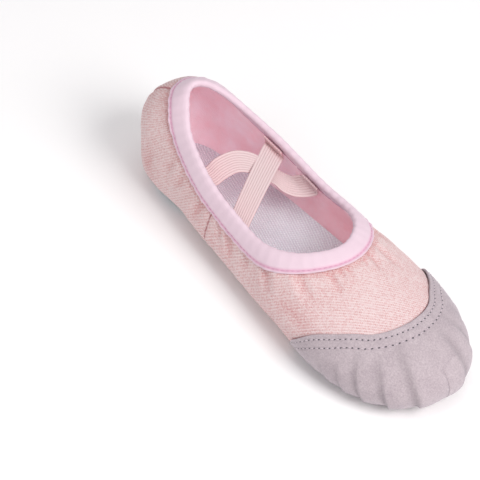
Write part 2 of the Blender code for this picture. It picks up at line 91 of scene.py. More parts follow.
OBLIQUE = 0.4
WALL_STEPS = 170
WALL_ROWS = 120
FINE_ROWS = 240

# Creases of the cloth. Each runs over points given as distances from the heel in millimetres
# and turns in degrees from the top round to the left, with minus to the right. Depth and width
# are in millimetres, and a minus depth is a ridge.
CREASE_NAMES = ("points", "depth", "width")
CREASES = (
    (((128, -24), (133, -23), (139, -27)), 0.72, 1.3),
    (((129, -15), (134, -13), (141, -17)), 0.48, 1.1),
    (((128, -36), (135, -36), (143, -44)), 0.64, 1.8),
    (((129, 12), (134, 15), (139, 14)), 0.48, 1.2),
    (((129, 26), (135, 29), (143, 28)), 0.72, 1.5),
    (((126, 42), (133, 47), (143, 52)), 0.64, 1.9),
    (((119, -50), (126, -59), (137, -66)), 0.72, 2.4),
    (((106, -60), (109, -72), (117, -84)), 0.72, 2.6),
    (((92, -62), (94, -74), (98, -88)), 0.72, 2.4),
    (((80, -62), (82, -74), (87, -92)), 1.04, 2.4),
    (((74, -62), (75, -72), (78, -86)), 0.96, 1.8),
    (((61, -60), (60, -74), (57, -94)), 0.88, 2.4),
    (((46, -56), (44, -68), (41, -80)), 0.72, 2.2),
    (((36, -52), (35, -64), (32, -76)), 0.64, 2.0),
    (((22, -58), (20, -80), (24, -102)), 0.72, 4.6),
    (((116, 54), (123, 66), (134, 74)), 0.72, 2.6),
    (((100, 60), (104, 76), (112, 90)), 0.80, 2.8),
    (((76, 62), (79, 78), (82, 96)), 1.04, 2.4),
    (((60, 60), (58, 78), (53, 98)), 0.80, 2.8),
    (((42, 58), (40, 72), (36, 88)), 0.72, 2.6),
    (((24, 56), (22, 78), (26, 100)), 0.72, 4.6),
    (((120, -84), (132, -80), (146, -84)), 0.48, 4.0),
    (((112, -100), (124, -104), (138, -104)), 0.40, 4.0),
    (((118, 88), (132, 82), (146, 86)), 0.48, 4.0),
    (((86, -112), (96, -126), (108, -140)), 0.50, 4.2),
    (((66, -120), (72, -136), (82, -152)), 0.50, 4.2),
    (((84, 112), (94, 126), (106, 140)), 0.50, 4.2),
    (((64, 120), (70, 136), (80, 152)), 0.50, 4.2),
)


def column(table, names, name):
    """One named column of a table."""
    return table[:, names.index(name)]


def smooth_read(places, values, at):
    """Read a column between its rows along a smooth curve through them."""
    at = np.clip(at, places[0], places[-1])
    steps = np.diff(places)
    rises = np.diff(values) / steps
    slopes = np.empty(len(places))
    slopes[0] = rises[0]
    slopes[-1] = rises[-1]
    slopes[1:-1] = (rises[:-1] * steps[1:] + rises[1:] * steps[:-1]) / (steps[:-1] + steps[1:])
    i = np.clip(np.searchsorted(places, at) - 1, 0, len(steps) - 1)
    t = (at - places[i]) / steps[i]
    start = (2 * t**3 - 3 * t**2 + 1) * values[i] + (t**3 - 2 * t**2 + t) * steps[i] * slopes[i]
    end = (3 * t**2 - 2 * t**3) * values[i + 1] + (t**3 - t**2) * steps[i] * slopes[i + 1]
    return start + end


def section_value(name, x):
    """A column of the last's sections at a place along the shoe."""
    return smooth_read(column(SECTIONS, SECTION_NAMES, "along"),
                       column(SECTIONS, SECTION_NAMES, name), (x - BACK_X) / FORM_LENGTH)


def end_rounding(x, which):
    """One along the middle of the last, falling to nothing in a round curve at its ends."""
    heel = HEEL_ROUNDS[which]
    toe = TOE_ROUNDS[which]
    behind = np.clip((BACK_X + heel - x) / heel, 0, 1)
    ahead = np.clip((x - TIP_X + toe) / toe, 0, 1)
    return ((1 - behind**END_POWER) * (1 - ahead**END_POWER)) ** (1 / END_POWER)


def last_section(x):
    """Half width, underside, widest height and ridge of the last at x, above its floor."""
    half = section_value("half_width", x) * BALL_WIDTH / 2 * end_rounding(x, "plan")
    widest = section_value("widest_at", x) * RIDGE_HEIGHT
    under = section_value("underside", x) * ARCH_LIFT
    under = widest - (widest - under) * end_rounding(x, "low")
    ridge = section_value("ridge", x) * RIDGE_HEIGHT
    ridge = widest + (ridge - widest) * end_rounding(x, "top")
    return half, under, widest, ridge


def bulge(share, power):
    """Height of a rounded section at a share of its half width."""
    return (1 - np.clip(share, 0, 1) ** power) ** (1 / power)


def under_height(x, y):
    """The last's underside, flat where it would dip through the floor."""
    half, under, widest, _ = last_section(x)
    share = np.abs(y) / np.maximum(half, 1e-9)
    height = (widest - (widest - under) * bulge(share, UNDER_POWER)) / FLOOR_BLEND
    lifted = np.where(height > 1, height, (np.clip(height, -1, 1) + 1) ** 2 / 4)
    return FLOOR + FLOOR_BLEND * lifted


def top_height(x, y):
    """The last's upper side, closed over the throat."""
    half, _, widest, ridge = last_section(x)
    share = np.abs(y) / np.maximum(half, 1e-9)
    return FLOOR + widest + (ridge - widest) * bulge(share, TOP_POWER)


def skin(origins, directions):
    """Where rays from inside the last meet its surface."""
    near = np.zeros(origins.shape[:-1])
    far = np.full(origins.shape[:-1], SPINE_REACH)
    for _ in range(20):
        middle = (near + far) / 2
        point = origins + directions * middle[..., None]
        x = np.clip(point[..., 0], BACK_X, TIP_X)
        y = point[..., 1]
        z = point[..., 2]
        within = (np.abs(y) < last_section(x)[0]) & (x == point[..., 0])
        within = within & (z < top_height(x, y)) & (z > under_height(x, y))
        near = np.where(within, middle, near)
        far = np.where(within, far, middle)
    return origins + directions * ((near + far) / 2)[..., None]


def unit(vectors):
    return vectors / np.maximum(np.linalg.norm(vectors, axis=-1, keepdims=True), 1e-12)


def turn_between(first, second, share):
    """Turn one direction into another."""
    angle = np.clip(np.arccos(np.clip((first * second).sum(-1), -1, 1)), 1e-6, 3.1415)
    start = np.sin((1 - share) * angle) / np.sin(angle)
    end = np.sin(share * angle) / np.sin(angle)
    return start[..., None] * first + end[..., None] * second


def on_spine(x):
    """Points on the line inside the last that its surface is measured from."""
    return np.stack([x, 0 * x, 0 * x + SPINE_Z], -1)


def on_last(points):
    """The last's surface beside the given points, seen from the spine."""
    origin = on_spine(np.clip(points[..., 0], SPINE_START_X, SPINE_END_X))
    return skin(origin, unit(points - origin))


def collar_height(x):
    return COLLAR_HEIGHT * smooth_read(column(COLLAR, COLLAR_NAMES, "along"),
                                       column(COLLAR, COLLAR_NAMES, "height"),
                                       (x - BACK_X) / FORM_LENGTH)


def collar_crossing(low_side, high_side):
    """Where the ridge passes the collar's height, between a place below and one above it."""
    for _ in range(40):
        middle = (low_side + high_side) / 2
        if last_section(np.array(middle))[3] > collar_height(np.array(middle)):
            high_side = middle
        else:
            low_side = middle
    return (low_side + high_side) / 2


def collar_line(steps):
    """The collar's edge on the shoe's left half, from the heel round to the throat's front."""
    back = collar_crossing(BACK_X, BACK_X + HEEL_ROUNDS["top"])
    front = collar_crossing(TIP_X - TOE_ROUNDS["top"], BACK_X + FORM_LENGTH / 2)
    turn = np.linspace(0, np.pi, steps)
    x = (back + front) / 2 - (front - back) / 2 * np.cos(turn)
    z = collar_height(x)
    half, _, widest, ridge = last_section(x)
    y = half * bulge((z - widest) / (ridge - widest), TOP_POWER)
    y[0] = 0
    y[-1] = 0
    return np.stack([x, y, FLOOR + z], -1), turn


def even_rows(grid, rows):
    """Rows at equal mean distances down a fine grid."""
    lengths = np.linalg.norm(np.diff(grid, axis=1), axis=-1)
    share = (lengths / lengths.sum(1, keepdims=True)).mean(0)
    runs = np.concatenate([[0], np.cumsum(share)])
    at = np.linspace(0, runs[-1], rows)
    i = np.clip(np.searchsorted(runs, at) - 1, 0, len(runs) - 2)
    t = ((at - runs[i]) / (runs[i + 1] - runs[i]))[None, :, None]
    return (1 - t) * grid[:, i] + t * grid[:, i + 1]


def wall_grid(steps, rows):
    """The left half of the upper's outside: steps round the shoe, rows down to the middle."""
    collar, turn = collar_line(steps)
    start_x = np.maximum(collar[:, 0], SPINE_START_X)
    end_x = SPINE_START_X + (SPINE_END_X - SPINE_START_X) * turn / np.pi
    upward = unit(collar - on_spine(start_x))[:, None]
    outward = np.stack([-np.cos(turn), np.sin(turn), 0 * turn], -1)[:, None]
    down = np.array([0.0, 0.0, -1.0])
    share = np.linspace(0, 2, FINE_ROWS)[None, :]
    early = np.minimum(share, 1)
    late = np.maximum(share - 1, 0)
    moved = OBLIQUE * early + (1 - OBLIQUE) * late
    origin = on_spine(start_x[:, None] + moved * (end_x - start_x)[:, None])
    direction = np.where((share < 1)[..., None], turn_between(upward, outward, early),
                         turn_between(outward, down, late))
    grid = skin(origin, unit(direction))
    grid[:, 0] = collar
    grid[0, :, 1] = 0
    grid[-1, :, 1] = 0
    grid[:, -1, 1] = 0
    return even_rows(grid, rows)


def grid_normals(grid, inside):
    """Normals of a grid of points, pointing away from the inside points."""
    normal = unit(np.cross(np.gradient(grid, axis=0), np.gradient(grid, axis=1)))
    return normal * np.sign(((grid - inside) * normal).sum(-1, keepdims=True))


def cloth_place(points):
    """Where the cloth's threads lie: run from the heel and girth from the ridge, in millimetres."""
    x = np.linspace(BACK_X, TIP_X, 500)
    half, under, widest, ridge = last_section(x)
    run = np.concatenate([[0], np.cumsum(np.hypot(np.diff(x), np.diff(half)))])
    angle = np.linspace(0, np.pi, 181)
    upper_side = angle <= np.pi / 2
    rise = np.where(upper_side, 1, -1) * np.abs(np.cos(angle)) ** (2 / TOP_POWER)
    y = half[:, None] * np.sin(angle) ** (2 / TOP_POWER)
    z = widest[:, None] + rise * np.where(upper_side, (ridge - widest)[:, None],
                                          (widest - under)[:, None])
    girth = np.cumsum(np.hypot(np.diff(y, axis=1), np.diff(z, axis=1)), 1)
    girth = np.concatenate([np.zeros((len(x), 1)), girth], 1)
    here = last_section(np.clip(points[..., 0], BACK_X, TIP_X))
    across = np.clip(np.abs(points[..., 1]) / np.maximum(here[0], 1e-6), 0, 1)
    above = points[..., 2] - FLOOR - here[2]
    above = above / np.where(above > 0, here[3] - here[2], here[2] - here[1])
    side = np.arctan2(across ** (TOP_POWER / 2),
                      np.sign(above) * np.clip(np.abs(above), 0, 1) ** (TOP_POWER / 2))
    i = np.clip((points[..., 0] - BACK_X) / FORM_LENGTH * 499, 0, 498.999)
    j = np.clip(side / np.pi * 180, 0, 179.999)
    i0 = i.astype(int)
    j0 = j.astype(int)
    s = i - i0
    t = j - j0
    value = (1 - s) * ((1 - t) * girth[i0, j0] + t * girth[i0, j0 + 1])
    value = value + s * ((1 - t) * girth[i0 + 1, j0] + t * girth[i0 + 1, j0 + 1])
    heel_x = BACK_X + HEEL_ROUNDS["plan"]
    round_heel = np.arctan2(np.abs(points[..., 1]), np.maximum(heel_x - points[..., 0], 0)) * 2 / np.pi
    across_run = np.where(points[..., 0] < heel_x, round_heel * np.interp(heel_x, x, run),
                          np.interp(points[..., 0], x, run))
    near_back = np.clip((heel_x - points[..., 0]) / 0.015, 0, 1)
    near_back = near_back * near_back * (3 - 2 * near_back)
    up_the_back = np.interp(heel_x, x, girth[:, 90]) + FLOOR + last_section(np.array(heel_x))[2] - points[..., 2]
    value = value + near_back * (up_the_back - value)
    return np.stack([across_run, value], -1) * 1000


def line_on_last(places):
    """A smooth line over the last through places given as in the table of creases."""
    places = np.array(places, float)
    at = np.linspace(0, len(places) - 1, 25)
    x = smooth_read(np.arange(len(places)), places[:, 0], at)
    angle = np.radians(smooth_read(np.arange(len(places)), places[:, 1], at))
    direction = np.stack([0 * angle, np.sin(angle), np.cos(angle)], -1)
    return skin(on_spine(BACK_X + x / 1000), direction)


def distance_to(points, line):
    """Distance to a line of points, and how far along it the nearest one lies, from 0 to 1."""
    flat = points.reshape(-1, 3)
    distance = np.full(len(flat), np.inf)
    along = np.zeros(len(flat))
    for i, (start, end) in enumerate(zip(line[:-1], line[1:])):
        way = end - start
        t = np.clip(((flat - start) @ way) / (way @ way), 0, 1)
        gap = np.linalg.norm(flat - start - t[:, None] * way, axis=-1)
        nearer = gap < distance
        distance = np.where(nearer, gap, distance)
        along = np.where(nearer, (i + t) / (len(line) - 1), along)
    return distance.reshape(points.shape[:-1]), along.reshape(points.shape[:-1])


def crease_lift(points, creases):
    """Lift of the cloth by its creases: soft troughs with a low swell on both sides."""
    lift = np.zeros(points.shape[:-1])
    for row in creases:
        crease = dict(zip(CREASE_NAMES, row))
        distance, along = distance_to(points, line_on_last(crease["points"]))
        d = distance * 1000 / crease["width"]
        fade = np.sin(np.pi * np.clip(along, 0.02, 0.98)) ** 0.7
        shape = np.exp(-d**2) - 0.45 * np.exp(-((d - 1.7) ** 2) / 0.6)
        lift = lift - crease["depth"] / 1000 * fade * shape
    return lift


def soft_waves(points, size, depth, seed):
    """Slow unevenness of hand-worked cloth, from a few crossed waves."""
    random = np.random.default_rng(seed)
    lift = np.zeros(points.shape[:-1])
    for _ in range(14):
        way = unit(random.normal(size=3)) * 2 * np.pi / (size * random.uniform(0.7, 1.8))
        lift = lift + np.sin(points @ way + random.uniform(0, 6.3))
    return lift / 14**0.5 * depth


def sheet_object(name, grid, uv=None, values=None, closed=False, uv_name="cloth", facing=None):
    """An object from a grid of points, with cloth coordinates and named values at its points.

    Its faces look the way that the facing directions point.
    """
    steps, rows = grid.shape[:2]
    index = np.arange(steps * rows).reshape(steps, rows)
    if closed:
        index = np.concatenate([index, index[:1]])
    quads = np.stack([index[:-1, :-1], index[1:, :-1], index[1:, 1:], index[:-1, 1:]], -1)
    if facing is not None:
        normal = unit(np.cross(np.gradient(grid, axis=0), np.gradient(grid, axis=1)))
        if (normal * facing).sum(-1).mean() < 0:
            quads = quads[..., ::-1]
    mesh = bpy.data.meshes.new(name)
    mesh.from_pydata(grid.reshape(-1, 3), [], quads.reshape(-1, 4))
    if uv is not None:
        layer = mesh.uv_layers.new(name=uv_name)
        corners = np.empty(len(mesh.loops), int)
        mesh.loops.foreach_get("vertex_index", corners)
        layer.data.foreach_set("uv", uv.reshape(-1, 2)[corners].ravel())
    for key, value in (values or {}).items():
        attribute = mesh.attributes.new(key, "FLOAT", "POINT")
        attribute.data.foreach_set("value", value.ravel().astype(np.float32))
    piece = bpy.data.objects.new(name, mesh)
    bpy.context.scene.collection.objects.link(piece)
    return piece


def join_halves(name, left, right):
    """One object from the left and right halves, sewn together where they meet."""
    bm = bmesh.new()
    bm.from_mesh(left.data)
    bm.from_mesh(right.data)
    bmesh.ops.remove_doubles(bm, verts=bm.verts, dist=0.00005)
    mesh = bpy.data.meshes.new(name)
    bm.to_mesh(mesh)
    bm.free()
    bpy.data.objects.remove(left)
    bpy.data.objects.remove(right)
    mesh.shade_smooth()
    piece = bpy.data.objects.new(name, mesh)
    bpy.context.scene.collection.objects.link(piece)
    return piece


def thicken(piece, thickness, side):
    """Give a sheet its thickness: side 1 outward, -1 inward, 0 both ways."""
    wall = piece.modifiers.new("wall", "SOLIDIFY")
    wall.thickness = thickness
    wall.offset = side
    wall.use_even_offset = False
    return wall


def add_node(tree, kind, **inputs):
    """A shader node, its inputs set to values or linked to other nodes' outputs."""
    node = tree.nodes.new(kind)
    settings = {key: value for key, value in inputs.items() if hasattr(node, key)}
    for key, value in settings.items():
        setattr(node, key, value)
    for key, value in inputs.items():
        if key in settings:
            continue
        socket = node.inputs[int(key[1:])] if key[1:].isdigit() else node.inputs[key.replace("_", " ")]
        if isinstance(value, bpy.types.NodeSocket):
            tree.links.new(value, socket)
        else:
            socket.default_value = value
    return node


def maths(tree, operation, first, second=0.5, third=0.5):
    """The result of a sum on numbers or sockets."""
    return add_node(tree, "ShaderNodeMath", operation=operation, i0=first, i1=second, i2=third).outputs[0]


def blend_colours(tree, share, first, second, way="MIX"):
    """A colour between two, by a share."""
    node = tree.nodes.new("ShaderNodeMix")
    node.data_type = "RGBA"
    node.blend_type = way
    sockets = [s for s in node.inputs if s.enabled]
    for socket, value in zip(sockets, (share, first, second)):
        if isinstance(value, bpy.types.NodeSocket):
            tree.links.new(value, socket)
        else:
            socket.default_value = value
    return [s for s in node.outputs if s.enabled][0]


def new_group(name, inputs, outputs):
    """A shader node group with number and vector inputs and number outputs."""
    tree = bpy.data.node_groups.new(name, "ShaderNodeTree")
    for key, value in inputs.items():
        kind = "NodeSocketVector" if value is None else "NodeSocketFloat"
        socket = tree.interface.new_socket(key, in_out="INPUT", socket_type=kind)
        if value is not None:
            socket.default_value = value
    for key in outputs:
        tree.interface.new_socket(key, in_out="OUTPUT", socket_type="NodeSocketFloat")
    return tree, tree.nodes.new("NodeGroupInput"), tree.nodes.new("NodeGroupOutput")


def use_group(tree, name, **inputs):
    """A node group placed in a material with its own values."""
    node = tree.nodes.new("ShaderNodeGroup")
    node.node_tree = bpy.data.node_groups[name]
    for key, value in inputs.items():
        socket = node.inputs[key.replace("_", " ")]
        if isinstance(value, bpy.types.NodeSocket):
            tree.links.new(value, socket)
        else:
            socket.default_value = value
    return node.outputs


def new_material(name, roughness, sheen=0.0, sheen_tint=(1, 1, 1, 1)):
    """A material with its shader's plain values set."""
    material = bpy.data.materials.new(name)
    material.use_nodes = True
    shader = material.node_tree.nodes["Principled BSDF"]
    shader.inputs["Roughness"].default_value = roughness
    shader.inputs["Metallic"].default_value = 0.0
    shader.inputs["Specular IOR Level"].default_value = 0.25
    shader.inputs["Sheen Weight"].default_value = sheen
    shader.inputs["Sheen Roughness"].default_value = 0.5
    shader.inputs["Sheen Tint"].default_value = sheen_tint
    return material, material.node_tree, shader


def finish_surface(tree, shader, colour, height, depth):
    """Link a colour and a relief of the given depth to a shader."""
    tree.links.new(colour, shader.inputs["Base Color"])
    bump = add_node(tree, "ShaderNodeBump", Height=height, Distance=depth, Strength=1.0)
    tree.links.new(bump.outputs[0], shader.inputs["Normal"])


# Twill weave: warp threads float over two wefts and under one, stepping by one each row.
weave, given, result = new_group("canvas_weave", {"Place": None, "Pitch": 0.9}, ("Height", "Thread"))
scaled = add_node(weave, "ShaderNodeVectorMath", operation="DIVIDE", i0=given.outputs["Place"])
pitch_vector = add_node(weave, "ShaderNodeCombineXYZ", X=given.outputs["Pitch"],
                        Y=given.outputs["Pitch"], Z=given.outputs["Pitch"])
weave.links.new(pitch_vector.outputs[0], scaled.inputs[1])
parts = add_node(weave, "ShaderNodeSeparateXYZ", Vector=scaled.outputs[0])
u = parts.outputs[0]
v = parts.outputs[1]
warp_number = maths(weave, "FLOOR", u)
weft_number = maths(weave, "FLOOR", v)
over = maths(weave, "FLOORED_MODULO", maths(weave, "SUBTRACT", warp_number, weft_number), 3.0)
weft_up = maths(weave, "LESS_THAN", over, 0.5)
warp_round = maths(weave, "ABSOLUTE", maths(weave, "SINE", maths(weave, "MULTIPLY", u, np.pi)))
weft_round = maths(weave, "ABSOLUTE", maths(weave, "SINE", maths(weave, "MULTIPLY", v, np.pi)))
warp_high = maths(weave, "MULTIPLY", maths(weave, "ADD", maths(weave, "MULTIPLY", warp_round, 0.45), 0.55),
                  maths(weave, "SUBTRACT", 1.0, weft_up))
weft_high = maths(weave, "MULTIPLY", maths(weave, "MULTIPLY", weft_round, 0.45), weft_up)
weave_height = maths(weave, "ADD", warp_high, weft_high)
weave.links.new(weave_height, result.inputs["Height"])
thread_seed = maths(weave, "ADD", maths(weave, "MULTIPLY", warp_number, 12.9),
                    maths(weave, "MULTIPLY", weft_number, 4.1))
thread_tone = add_node(weave, "ShaderNodeTexWhiteNoise", noise_dimensions="1D", W=thread_seed)
weave.links.new(thread_tone.outputs["Value"], result.inputs["Thread"])

# Uneven tone of dyed cloth and suede: broad soft patches with finer mottling in them.
tone, given, result = new_group("soft_mottle", {"Broad": 90.0, "Fine": 700.0}, ("Patches", "Grain"))
place = add_node(tone, "ShaderNodeTexCoord").outputs["Object"]
patches = add_node(tone, "ShaderNodeTexNoise", Vector=place, Scale=given.outputs["Broad"],
                   Detail=3.0, Roughness=0.55)
grain = add_node(tone, "ShaderNodeTexNoise", Vector=place, Scale=given.outputs["Fine"],
                 Detail=4.0, Roughness=0.65)
tone.links.new(patches.outputs[0], result.inputs["Patches"])
tone.links.new(grain.outputs[0], result.inputs["Grain"])

WAIST_BELLY = 0.0032
HEEL_FULL = 0.0042
HEEL_FORWARD = 0.0044
HEEL_DOWN = 0.0012
HEEL_SEAM_SIDE = -0.0060
CAP_LENGTH = 0.0610
CAP_EDGE_NAMES = ("turn", "back")
CAP_EDGE = np.array((
    (0.0, 0.460),
    (22.0, 0.470),
    (40.0, 0.490),
    (49.0, 0.512),
    (58.0, 0.555),
    (65.0, 0.630),
    (72.0, 0.710),
    (80.0, 0.830),
    (97.0, 1.000),
))
CANVAS_LIGHT = (0.820, 0.660, 0.660, 1)
CANVAS_DEEP_TONE_AND_SHADE = (0.640, 0.270, 0.270, 1)
SEAM_RED = (0.420, 0.120, 0.140, 1)
# Strength of the lining's painted glow, which brightens the shaded inside of the shoe.
PAINTED_LINING_GLOW = 0.17
LINING_LIGHT = (0.950, 0.770, 0.840, 1)
LINING_DEEP_TONE_AND_SHADE = (0.880, 0.500, 0.560, 1)
SIDE_SEAM = ((68, 40), (68, 70), (68, 100), (70, 140), (72, 178))


def canvas_material():
    """Pink twill canvas, paler on the threads' crowns, with painted shade deeper in the gaps between threads and in the
    creases, and deeper along its seams.
    """
    material, tree, shader = new_material("pink_canvas_cloth", 0.92, 0.25, (1, 0.9, 0.88, 1))
    cloth = add_node(tree, "ShaderNodeUVMap", uv_map="cloth").outputs[0]
    weave_out = use_group(tree, "canvas_weave", Place=cloth, Pitch=0.58)
    mottle = use_group(tree, "soft_mottle", Broad=45.0, Fine=5000.0)
    # Painted shade: deeper colour in the crease troughs and in the pinch under the binding.
    painted_crease_shade = add_node(tree, "ShaderNodeAttribute", attribute_name="painted_crease_shade").outputs["Fac"]
    # Painted shade in the gaps between the threads; the patches, grain and thread tone below are random dye tone.
    gaps = maths(tree, "SUBTRACT", 1.0, weave_out["Height"])
    deep = maths(tree, "ADD", maths(tree, "MULTIPLY", gaps, 0.68), maths(tree, "MULTIPLY", painted_crease_shade, 0.8))
    deep = maths(tree, "ADD", deep, maths(tree, "MULTIPLY", maths(tree, "SUBTRACT", mottle["Patches"], 0.5), 0.6))
    deep = maths(tree, "ADD", deep, maths(tree, "MULTIPLY", maths(tree, "SUBTRACT", mottle["Grain"], 0.5), 0.3))
    deep = add_node(tree, "ShaderNodeMath", operation="ADD", use_clamp=True, i0=deep,
                    i1=maths(tree, "MULTIPLY", maths(tree, "SUBTRACT", weave_out["Thread"], 0.5), 0.60)).outputs[0]
    colour = blend_colours(tree, deep, CANVAS_LIGHT, CANVAS_DEEP_TONE_AND_SHADE)
    where = add_node(tree, "ShaderNodeTexCoord").outputs["Object"]
    parts = add_node(tree, "ShaderNodeSeparateXYZ", Vector=where)
    behind = maths(tree, "LESS_THAN", parts.outputs[0], BACK_X + 0.03)
    seam_y = maths(tree, "MULTIPLY", behind, HEEL_SEAM_SIDE)
    middle = maths(tree, "ABSOLUTE", maths(tree, "SUBTRACT", parts.outputs[1], seam_y))
    beneath = maths(tree, "LESS_THAN", parts.outputs[2], 0.012)
    sewn = maths(tree, "MAXIMUM", behind, beneath)
    middle_line = add_node(tree, "ShaderNodeMapRange", i0=middle, i1=0.0002, i2=0.0005, i3=1.0, i4=0.0).outputs[0]
    side_seam = add_node(tree, "ShaderNodeAttribute", attribute_name="side_seam").outputs["Fac"]
    side_line = add_node(tree, "ShaderNodeMapRange", i0=maths(tree, "ABSOLUTE", side_seam),
                         i1=0.00015, i2=0.0005, i3=1.0, i4=0.0).outputs[0]
    to_cap = add_node(tree, "ShaderNodeAttribute", attribute_name="to_cap").outputs["Fac"]
    cap_line = add_node(tree, "ShaderNodeMapRange", i0=maths(tree, "ABSOLUTE", to_cap),
                        i1=0.0002, i2=0.0006, i3=1.0, i4=0.0).outputs[0]
    lines = maths(tree, "MAXIMUM", maths(tree, "MULTIPLY", middle_line, sewn),
                  maths(tree, "MAXIMUM", side_line, cap_line))
    colour = blend_colours(tree, maths(tree, "MULTIPLY", lines, 0.8), colour, SEAM_RED)
    finish_surface(tree, shader, colour, weave_out["Height"], 0.00020)
    return material


def lining_material():
    """Dusty pink cotton lining, a finer weave than the canvas, with painted shade deepening it towards the toe and a
    faint painted glow.
    """
    material, tree, shader = new_material("pink_lining_cloth", 0.95, 0.3, (1, 0.85, 0.9, 1))
    cloth = add_node(tree, "ShaderNodeUVMap", uv_map="cloth").outputs[0]
    weave_out = use_group(tree, "canvas_weave", Place=cloth, Pitch=0.5)
    mottle = use_group(tree, "soft_mottle", Broad=55.0, Fine=1200.0)
    share = add_node(tree, "ShaderNodeMapRange", i0=mottle["Patches"], i1=0.35, i2=0.65, i3=0.05, i4=0.60).outputs[0]
    share = maths(tree, "ADD", share, maths(tree, "MULTIPLY", mottle["Grain"], 0.15))
    where = add_node(tree, "ShaderNodeTexCoord").outputs["Object"]
    forward_place = add_node(tree, "ShaderNodeSeparateXYZ", Vector=where).outputs[0]
    # Painted shade: the lining deepens towards the toe, inside under the vamp.
    ahead = add_node(tree, "ShaderNodeMapRange", i0=forward_place, i1=-0.05, i2=0.03, i3=0.0, i4=0.45).outputs[0]
    share = add_node(tree, "ShaderNodeMath", operation="ADD", use_clamp=True, i0=share, i1=ahead).outputs[0]
    colour = blend_colours(tree, share, LINING_LIGHT, LINING_DEEP_TONE_AND_SHADE)
    height = maths(tree, "ADD", maths(tree, "MULTIPLY", weave_out["Height"], 0.3), mottle["Patches"])
    # Painted glow: the lining emits light of its own colour so that the inside reads bright.
    tree.links.new(colour, shader.inputs["Emission Color"])
    shader.inputs["Emission Strength"].default_value = PAINTED_LINING_GLOW
    finish_surface(tree, shader, colour, height, 0.0004)
    return material


def ahead_of_cap_edge(points):
    """How far points lie ahead of the toe cap's edge, minus behind it."""
    turn = np.degrees(np.arctan2(np.abs(points[..., 1]), points[..., 2] - SPINE_Z))
    back = smooth_read(column(CAP_EDGE, CAP_EDGE_NAMES, "turn"), column(CAP_EDGE, CAP_EDGE_NAMES, "back"), turn)
    return points[..., 0] - TIP_X + back * CAP_LENGTH


def settle_heel(points, normals):
    """Fill the heel out below the collar, and draw the collar there a little forward and down."""
    heel = np.clip((-points[..., 0] - 0.066) / 0.028, 0, 1)
    full = HEEL_FULL * heel * heel * np.exp(-(((points[..., 2] - 0.039) / 0.011) ** 2))
    points = points + normals * full[..., None]
    high = np.clip((points[..., 2] - 0.036) / 0.018, 0, 1) ** 1.5
    back = np.clip((-points[..., 0] - 0.062) / 0.030, 0, 1)
    back = back * back * (3 - 2 * back)
    return points + (high * back)[..., None] * np.array([HEEL_FORWARD, 0, -HEEL_DOWN])


def dressed_half(side, grid):
    """One half of the canvas with its creases, seams, cloth coordinates and the painted shade of its crease troughs and
    of the pinch under the binding.
    """
    inside = on_spine(np.clip(grid[..., 0], SPINE_START_X, SPINE_END_X))
    normal = grid_normals(grid, inside)
    normal[0, :, 1] = 0
    normal[-1, :, 1] = 0
    normal[:, -1, 1] = 0
    mirror = np.array([1, side, 1])
    points = grid * mirror
    creases = crease_lift(points, CREASES)
    below_tape = np.linalg.norm(np.diff(grid, axis=1), axis=-1)
    below_tape = np.concatenate([np.zeros((WALL_STEPS, 1)), np.cumsum(below_tape, 1)], 1)
    pinch = np.exp(-(((below_tape - 0.0095) / 0.0022) ** 2))
    held = np.clip((below_tape - 0.006) / 0.006, 0, 1)
    lift = creases * held - 0.00035 * pinch
    lift = lift + held * soft_waves(points, 0.030, 0.00035, 4) + held * soft_waves(points, 0.011, 0.00010, 9)
    from_middle = np.abs(points[..., 1] - np.where(points[..., 0] < BACK_X + 0.03, HEEL_SEAM_SIDE, 0))
    back_seam = from_middle + np.clip(points[..., 0] - (BACK_X + 0.03), 0, 1)
    under_seam = from_middle + np.clip(points[..., 2] - 0.012, 0, 1) * 5
    seam_line = line_on_last(SIDE_SEAM)
    seam_x = np.interp(-grid[..., 2], -seam_line[:, 2], seam_line[:, 0])
    side_seam = distance_to(grid, seam_line)[0] * np.sign(grid[..., 0] - seam_x)
    seam = np.minimum(np.minimum(back_seam, under_seam), np.abs(side_seam))
    to_cap = ahead_of_cap_edge(grid)
    lift = lift - 0.0006 * np.exp(-((seam / 0.0007) ** 2)) + 0.0003 * np.exp(-(((seam - 0.0022) / 0.0012) ** 2))
    flat_foot = np.clip((points[..., 2] - FLOOR) / 0.003, 0, 1)
    lift = lift * (0.3 + 0.7 * flat_foot)
    belly = np.exp(-(((points[..., 0] + 0.012) / 0.034) ** 2)) * np.exp(-(((points[..., 2] - 0.009) / 0.009) ** 2))
    lift = lift + WAIST_BELLY * belly * np.clip(np.abs(points[..., 1]) / 0.018, 0, 1) ** 2
    capped = np.clip(to_cap / 0.0012, 0, 1)
    lift = lift * (1 - capped) - 0.0007 * capped
    points = settle_heel(points + normal * mirror * lift[..., None], normal * mirror)
    # Painted shade: how far the colour deepens in the crease troughs and in the pinch under the binding.
    painted_crease_shade = np.clip(-creases * held / 0.0008, 0, 1) * 0.45 + 0.45 * pinch * (below_tape > 0.007)
    place = cloth_place(grid)
    place[..., 1] *= side
    if side < 0:
        points = points[::-1]
        place = place[::-1]
        painted_crease_shade = painted_crease_shade[::-1]
        side_seam = side_seam[::-1]
        to_cap = to_cap[::-1]
    return sheet_object("half", points, place, {"painted_crease_shade": painted_crease_shade, "side_seam": side_seam, "to_cap": to_cap},
                        facing=points - on_spine(np.clip(points[..., 0], SPINE_START_X, SPINE_END_X)))


canvas_cloth = canvas_material()
lining_cloth = lining_material()
last_wall = wall_grid(WALL_STEPS, WALL_ROWS)
canvas_upper = join_halves("canvas_upper", dressed_half(1, last_wall), dressed_half(-1, last_wall))
canvas_upper.data.materials.append(canvas_cloth)
canvas_upper.data.materials.append(lining_cloth)
wall = thicken(canvas_upper, CANVAS, -1)
wall.material_offset = 1
wall.material_offset_rim = 1
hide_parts("upper")
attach(canvas_upper, "root")

